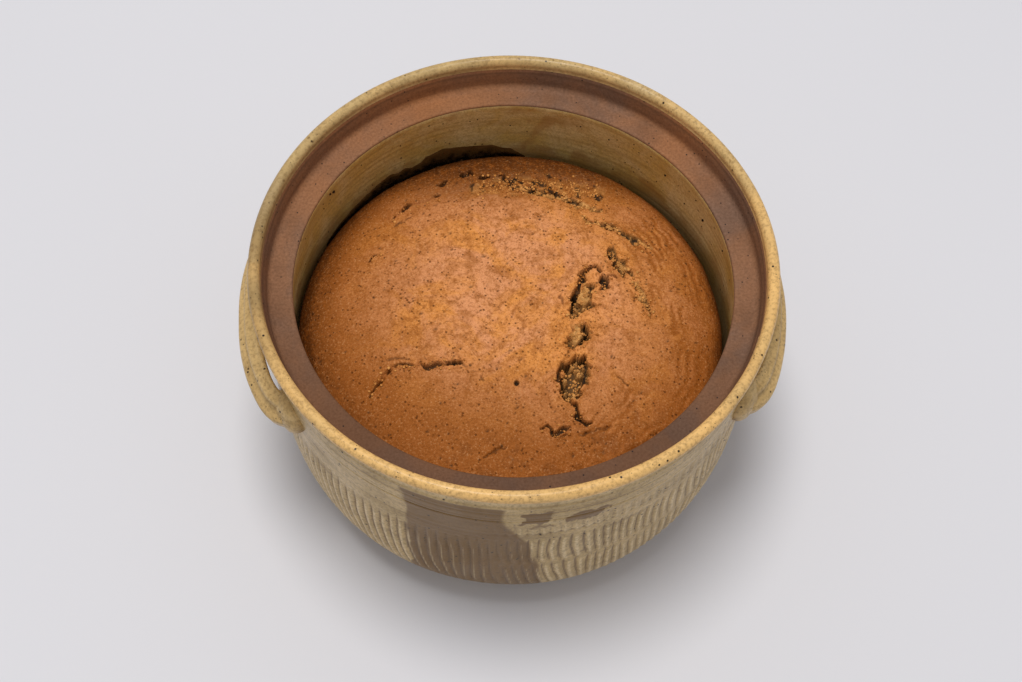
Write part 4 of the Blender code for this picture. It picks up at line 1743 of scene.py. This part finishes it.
@dataclass
class BurntJuice:
    """What boiled over: a black crust on the lining, glossy beads at the edge, small marks.

    `tide_top` holds the tide mark's upper edge as pairs of an angle in degrees and a height. `flecks`
    holds the larger flecks' angle in degrees, height and radius in millimetres.
    """

    pot: Pot
    pudding: Pudding
    tide_start: float = 84.0
    tide_spread: float = 66.0
    tide_foot: float = 0.074
    tide_top: tuple[tuple[float, float], ...] = (
        (84, 0.0780), (88.1, 0.0838), (94, 0.0877), (100, 0.0885), (107.8, 0.0914), (112.7, 0.0890),
        (114.2, 0.0856), (117.2, 0.0846), (119.2, 0.0868), (121.3, 0.0850), (123.9, 0.0868),
        (127.2, 0.0856), (133, 0.0830), (141, 0.0800), (150, 0.0768))
    flecks: tuple[tuple[float, float, float], ...] = (
        (41.0, 0.108, 0.7), (28.0, 0.1135, 0.5), (24.5, 0.104, 0.8), (33.0, 0.099, 0.5), (146.0, 0.115, 1.0),
        (147.6, 0.1165, 0.7), (60.0, 0.110, 0.5), (52.0, 0.117, 0.4), (12.0, 0.109, 0.6))
    wander: Wander = field(default_factory=lambda: Wander(61))

    def lining_radius(self, height: Array) -> Array:
        """Radius of the lining.

        Args:
            height: heights above the floor.

        Returns:
            One radius for each height.
        """
        pot = self.pot
        radii = [pot.inner_radius, pot.inner_radius - 0.0006, pot.inner_radius - 0.0024,
                 pot.ledge_inner_radius + 0.0007]
        return np.interp(height, [0.058, 0.085, 0.106, 0.1196], radii)

    def build_tide(self, burnt: bpy.types.Material) -> None:
        """The burnt tide mark at the back: a rough skin on the lining with a ragged upper edge, black low
        down where it also stands for painted shade in the gap by the crust.

        Args:
            burnt: its finish.
        """
        work = bmesh.new()
        bmesh.ops.create_grid(work, x_segments=220, y_segments=44, size=1.0)
        bmesh.ops.solidify(work, geom=work.faces[:], thickness=0.02)
        bmesh.ops.recalc_face_normals(work, faces=work.faces)
        made = piece_from("burnt_tide_mark", work)
        mesh = made.data
        across, up, side = coords_of(mesh).T
        angle = self.tide_start + (across + 1.0) / 2 * self.tide_spread
        key = np.stack([angle * 0.0018, angle * 0, angle * 0], axis=1)
        top = np.interp(angle, *zip(*self.tide_top)) + 0.7 * MM * self.wander.layered(key, 5.0 * MM, 4)
        height = self.tide_foot + (up + 1.0) / 2 * (top - self.tide_foot)
        flat = np.stack([angle * 0.0018, height, 0 * angle], axis=1)
        rim = ease(1.0, 0.90, np.abs(across)) * ease(1.0, 0.80, up)
        bulk = (0.10 + 0.30 * np.clip(self.wander.layered(flat, 3.4 * MM, 4) + 0.35, 0, 2)) * MM * rim
        inwards = np.where(side > side.mean(), bulk + 0.06 * MM, -0.25 * MM)
        reach = self.lining_radius(height) - inwards
        turn = np.radians(angle)
        move_to(mesh, np.stack([reach * np.cos(turn), reach * np.sin(turn), height], axis=1))
        # thin brown juice above; black below, partly painted shade in the gap by the crust
        mark(mesh, "thin", ease(-0.15, 0.75, up + 0.5 * self.wander.layered(flat, 5.0 * MM, 3)))
        work = bmesh.new()
        work.from_mesh(mesh)
        bmesh.ops.recalc_face_normals(work, faces=work.faces)
        work.to_mesh(mesh)
        work.free()
        hand_over(made, burnt)

    def build_beads(self, juice: bpy.types.Material) -> None:
        """Glossy beads of set juice between the crust and the wall.

        Args:
            juice: their finish.
        """
        draw = np.random.default_rng(29)
        spots = [(angle, draw.uniform(0.4, 1.1)) for angle in draw.normal(112.5, 4.5, 34)]
        spots += [(angle, draw.uniform(0.35, 0.8)) for angle in draw.normal(30.0, 4.0, 14)]
        spots += [(angle, draw.uniform(0.3, 0.6)) for angle in draw.uniform(70.0, 175.0, 40)]
        places, sizes = [], []
        for degrees, size in spots:
            turn = math.radians(degrees)
            edge = float(self.pudding.edge_at(np.array([turn]))[0])
            reach = edge - draw.uniform(-0.9, 1.6) * MM
            share = np.array([min(1.0, reach / edge)])
            height = float(self.pudding.dome(share)[0]) + 0.3 * MM
            places.append((reach * math.cos(turn), reach * math.sin(turn), height))
            sizes.append(size * MM)
        hand_over(grains("juice_beads", np.array(places), np.array(sizes), 30, 2, 0.75), juice)

    def build_marks(self, burnt: bpy.types.Material) -> None:
        """Pin spots and small burnt flecks on the lining.

        Args:
            burnt: their finish.
        """
        draw = np.random.default_rng(37)
        spots = [*self.flecks]
        for _ in range(42):
            spots.append((draw.uniform(15, 165), draw.uniform(0.088, 0.119), draw.uniform(0.22, 0.42)))
        places, sizes = [], []
        for degrees, height, size in spots:
            turn = math.radians(degrees)
            reach = float(self.lining_radius(np.array([height]))[0])
            places.append((reach * math.cos(turn), reach * math.sin(turn), height))
            sizes.append(size * MM)
        hand_over(grains("lining_flecks", np.array(places), np.array(sizes), 38, 2, 1.0), burnt)


# ---------------------------------------------------------------------------------------------
# Studio
# ---------------------------------------------------------------------------------------------


@dataclass
class Studio:
    """Pale floor, a wide soft light from above, and the camera."""

    camera_place: Vector = field(default_factory=lambda: Vector((-0.02456, -0.35125, 0.66596)))
    camera_forward: Vector = field(default_factory=lambda: Vector((0.034758, 0.504494, -0.86271)))
    roll: float = math.radians(1.9169)
    lens: float = 49.315
    sensor: float = 36.0

    def build_camera(self) -> None:
        """The camera, looking steeply down with a slight roll."""
        data = bpy.data.cameras.new("camera")
        data.lens = self.lens
        data.sensor_width = self.sensor
        data.clip_start = 0.01
        data.clip_end = 20.0
        camera = bpy.data.objects.new("camera", data)
        bpy.context.scene.collection.objects.link(camera)
        forward = self.camera_forward.normalized()
        right = forward.cross(Vector((0, 0, 1))).normalized()
        up = right.cross(forward)
        rolled_right = math.cos(self.roll) * right + math.sin(self.roll) * up
        rolled_up = -math.sin(self.roll) * right + math.cos(self.roll) * up
        turn = Matrix((rolled_right, rolled_up, -forward)).transposed()
        camera.matrix_world = Matrix.Translation(self.camera_place) @ turn.to_4x4()
        bpy.context.scene.camera = camera

    def build_floor(self) -> None:
        """A wide pale floor under the foot."""
        work = bmesh.new()
        bmesh.ops.create_grid(work, x_segments=8, y_segments=8, size=4.0)
        floor = piece_from("floor", work)
        floor.data.materials.append(FloorFinish().material())

    def build_light(self, name: str, place: Vector, target: Vector, size: float, power: float,
                    tone: Colour) -> None:
        """A round soft light aimed at a point.

        Args:
            name: the light's name.
            place: where it hangs.
            target: the point it is aimed at.
            size: its width.
            power: its power in watts.
            tone: its colour.
        """
        data = bpy.data.lights.new(name, "AREA")
        data.shape = "DISK"
        data.size = size
        data.energy = power
        data.color = tone
        light = bpy.data.objects.new(name, data)
        light.location = place
        light.rotation_euler = (target - place).to_track_quat("-Z", "Y").to_euler()
        bpy.context.scene.collection.objects.link(light)

    def build(self) -> None:
        """Set up the whole studio."""
        self.build_camera()
        self.build_floor()
        target = Vector((0.0, 0.0, 0.08))
        self.build_light("key", Vector((-0.15, 0.10, 2.5)), target, 1.0, 37.5, (1.0, 0.985, 0.96))
        world = bpy.data.worlds.new("studio")
        world.use_nodes = True
        background = world.node_tree.nodes["Background"]
        background.inputs["Color"].default_value = (0.97, 0.975, 1.0, 1.0)
        background.inputs["Strength"].default_value = 0.44
        bpy.context.scene.world = world
        bpy.context.scene.view_settings.view_transform = "Standard"


def main() -> None:
    """Build the studio, the pot and the pudding, in that order."""
    logging.basicConfig(level=logging.INFO, format="%(message)s")
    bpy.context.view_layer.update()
    Studio().build()

    _, pot_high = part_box("pot")
    pot = Pot(rim_radius=pot_high.y, total_height=pot_high.z)
    glaze = GlazeFinish("ash_glaze").material()
    clay = BareClayFinish("bare_clay").material()
    lining = LiningFinish("lining_glaze").material()
    pot.build_wall(glaze, clay)
    pot.build_rim(glaze, clay, lining)
    Handle("handle_right", 0.0).build(glaze)
    Handle("handle_left", math.pi).build(glaze)

    pudding = Pudding()
    pudding.build(CrustFinish("baked_crust").material())
    moist = GrainFinish("moist_crumb", (0.74, 0.350, 0.100), (0.440, 0.195, 0.048), 0.70).material()
    dry = GrainFinish("dry_crumb", (0.72, 0.33, 0.090), (0.38, 0.13, 0.022)).material()
    pudding.build_crumbs(moist, dry)

    burnt = BurntFinish("burnt_juice").material()
    juice = BurntFinish("set_juice", (0.016, 0.007, 0.003), (0.10, 0.045, 0.012), 0.07).material()
    residue = BurntJuice(pot, pudding)
    residue.build_tide(burnt)
    residue.build_beads(juice)
    residue.build_marks(burnt)


if __name__ == "__main__":
    main()
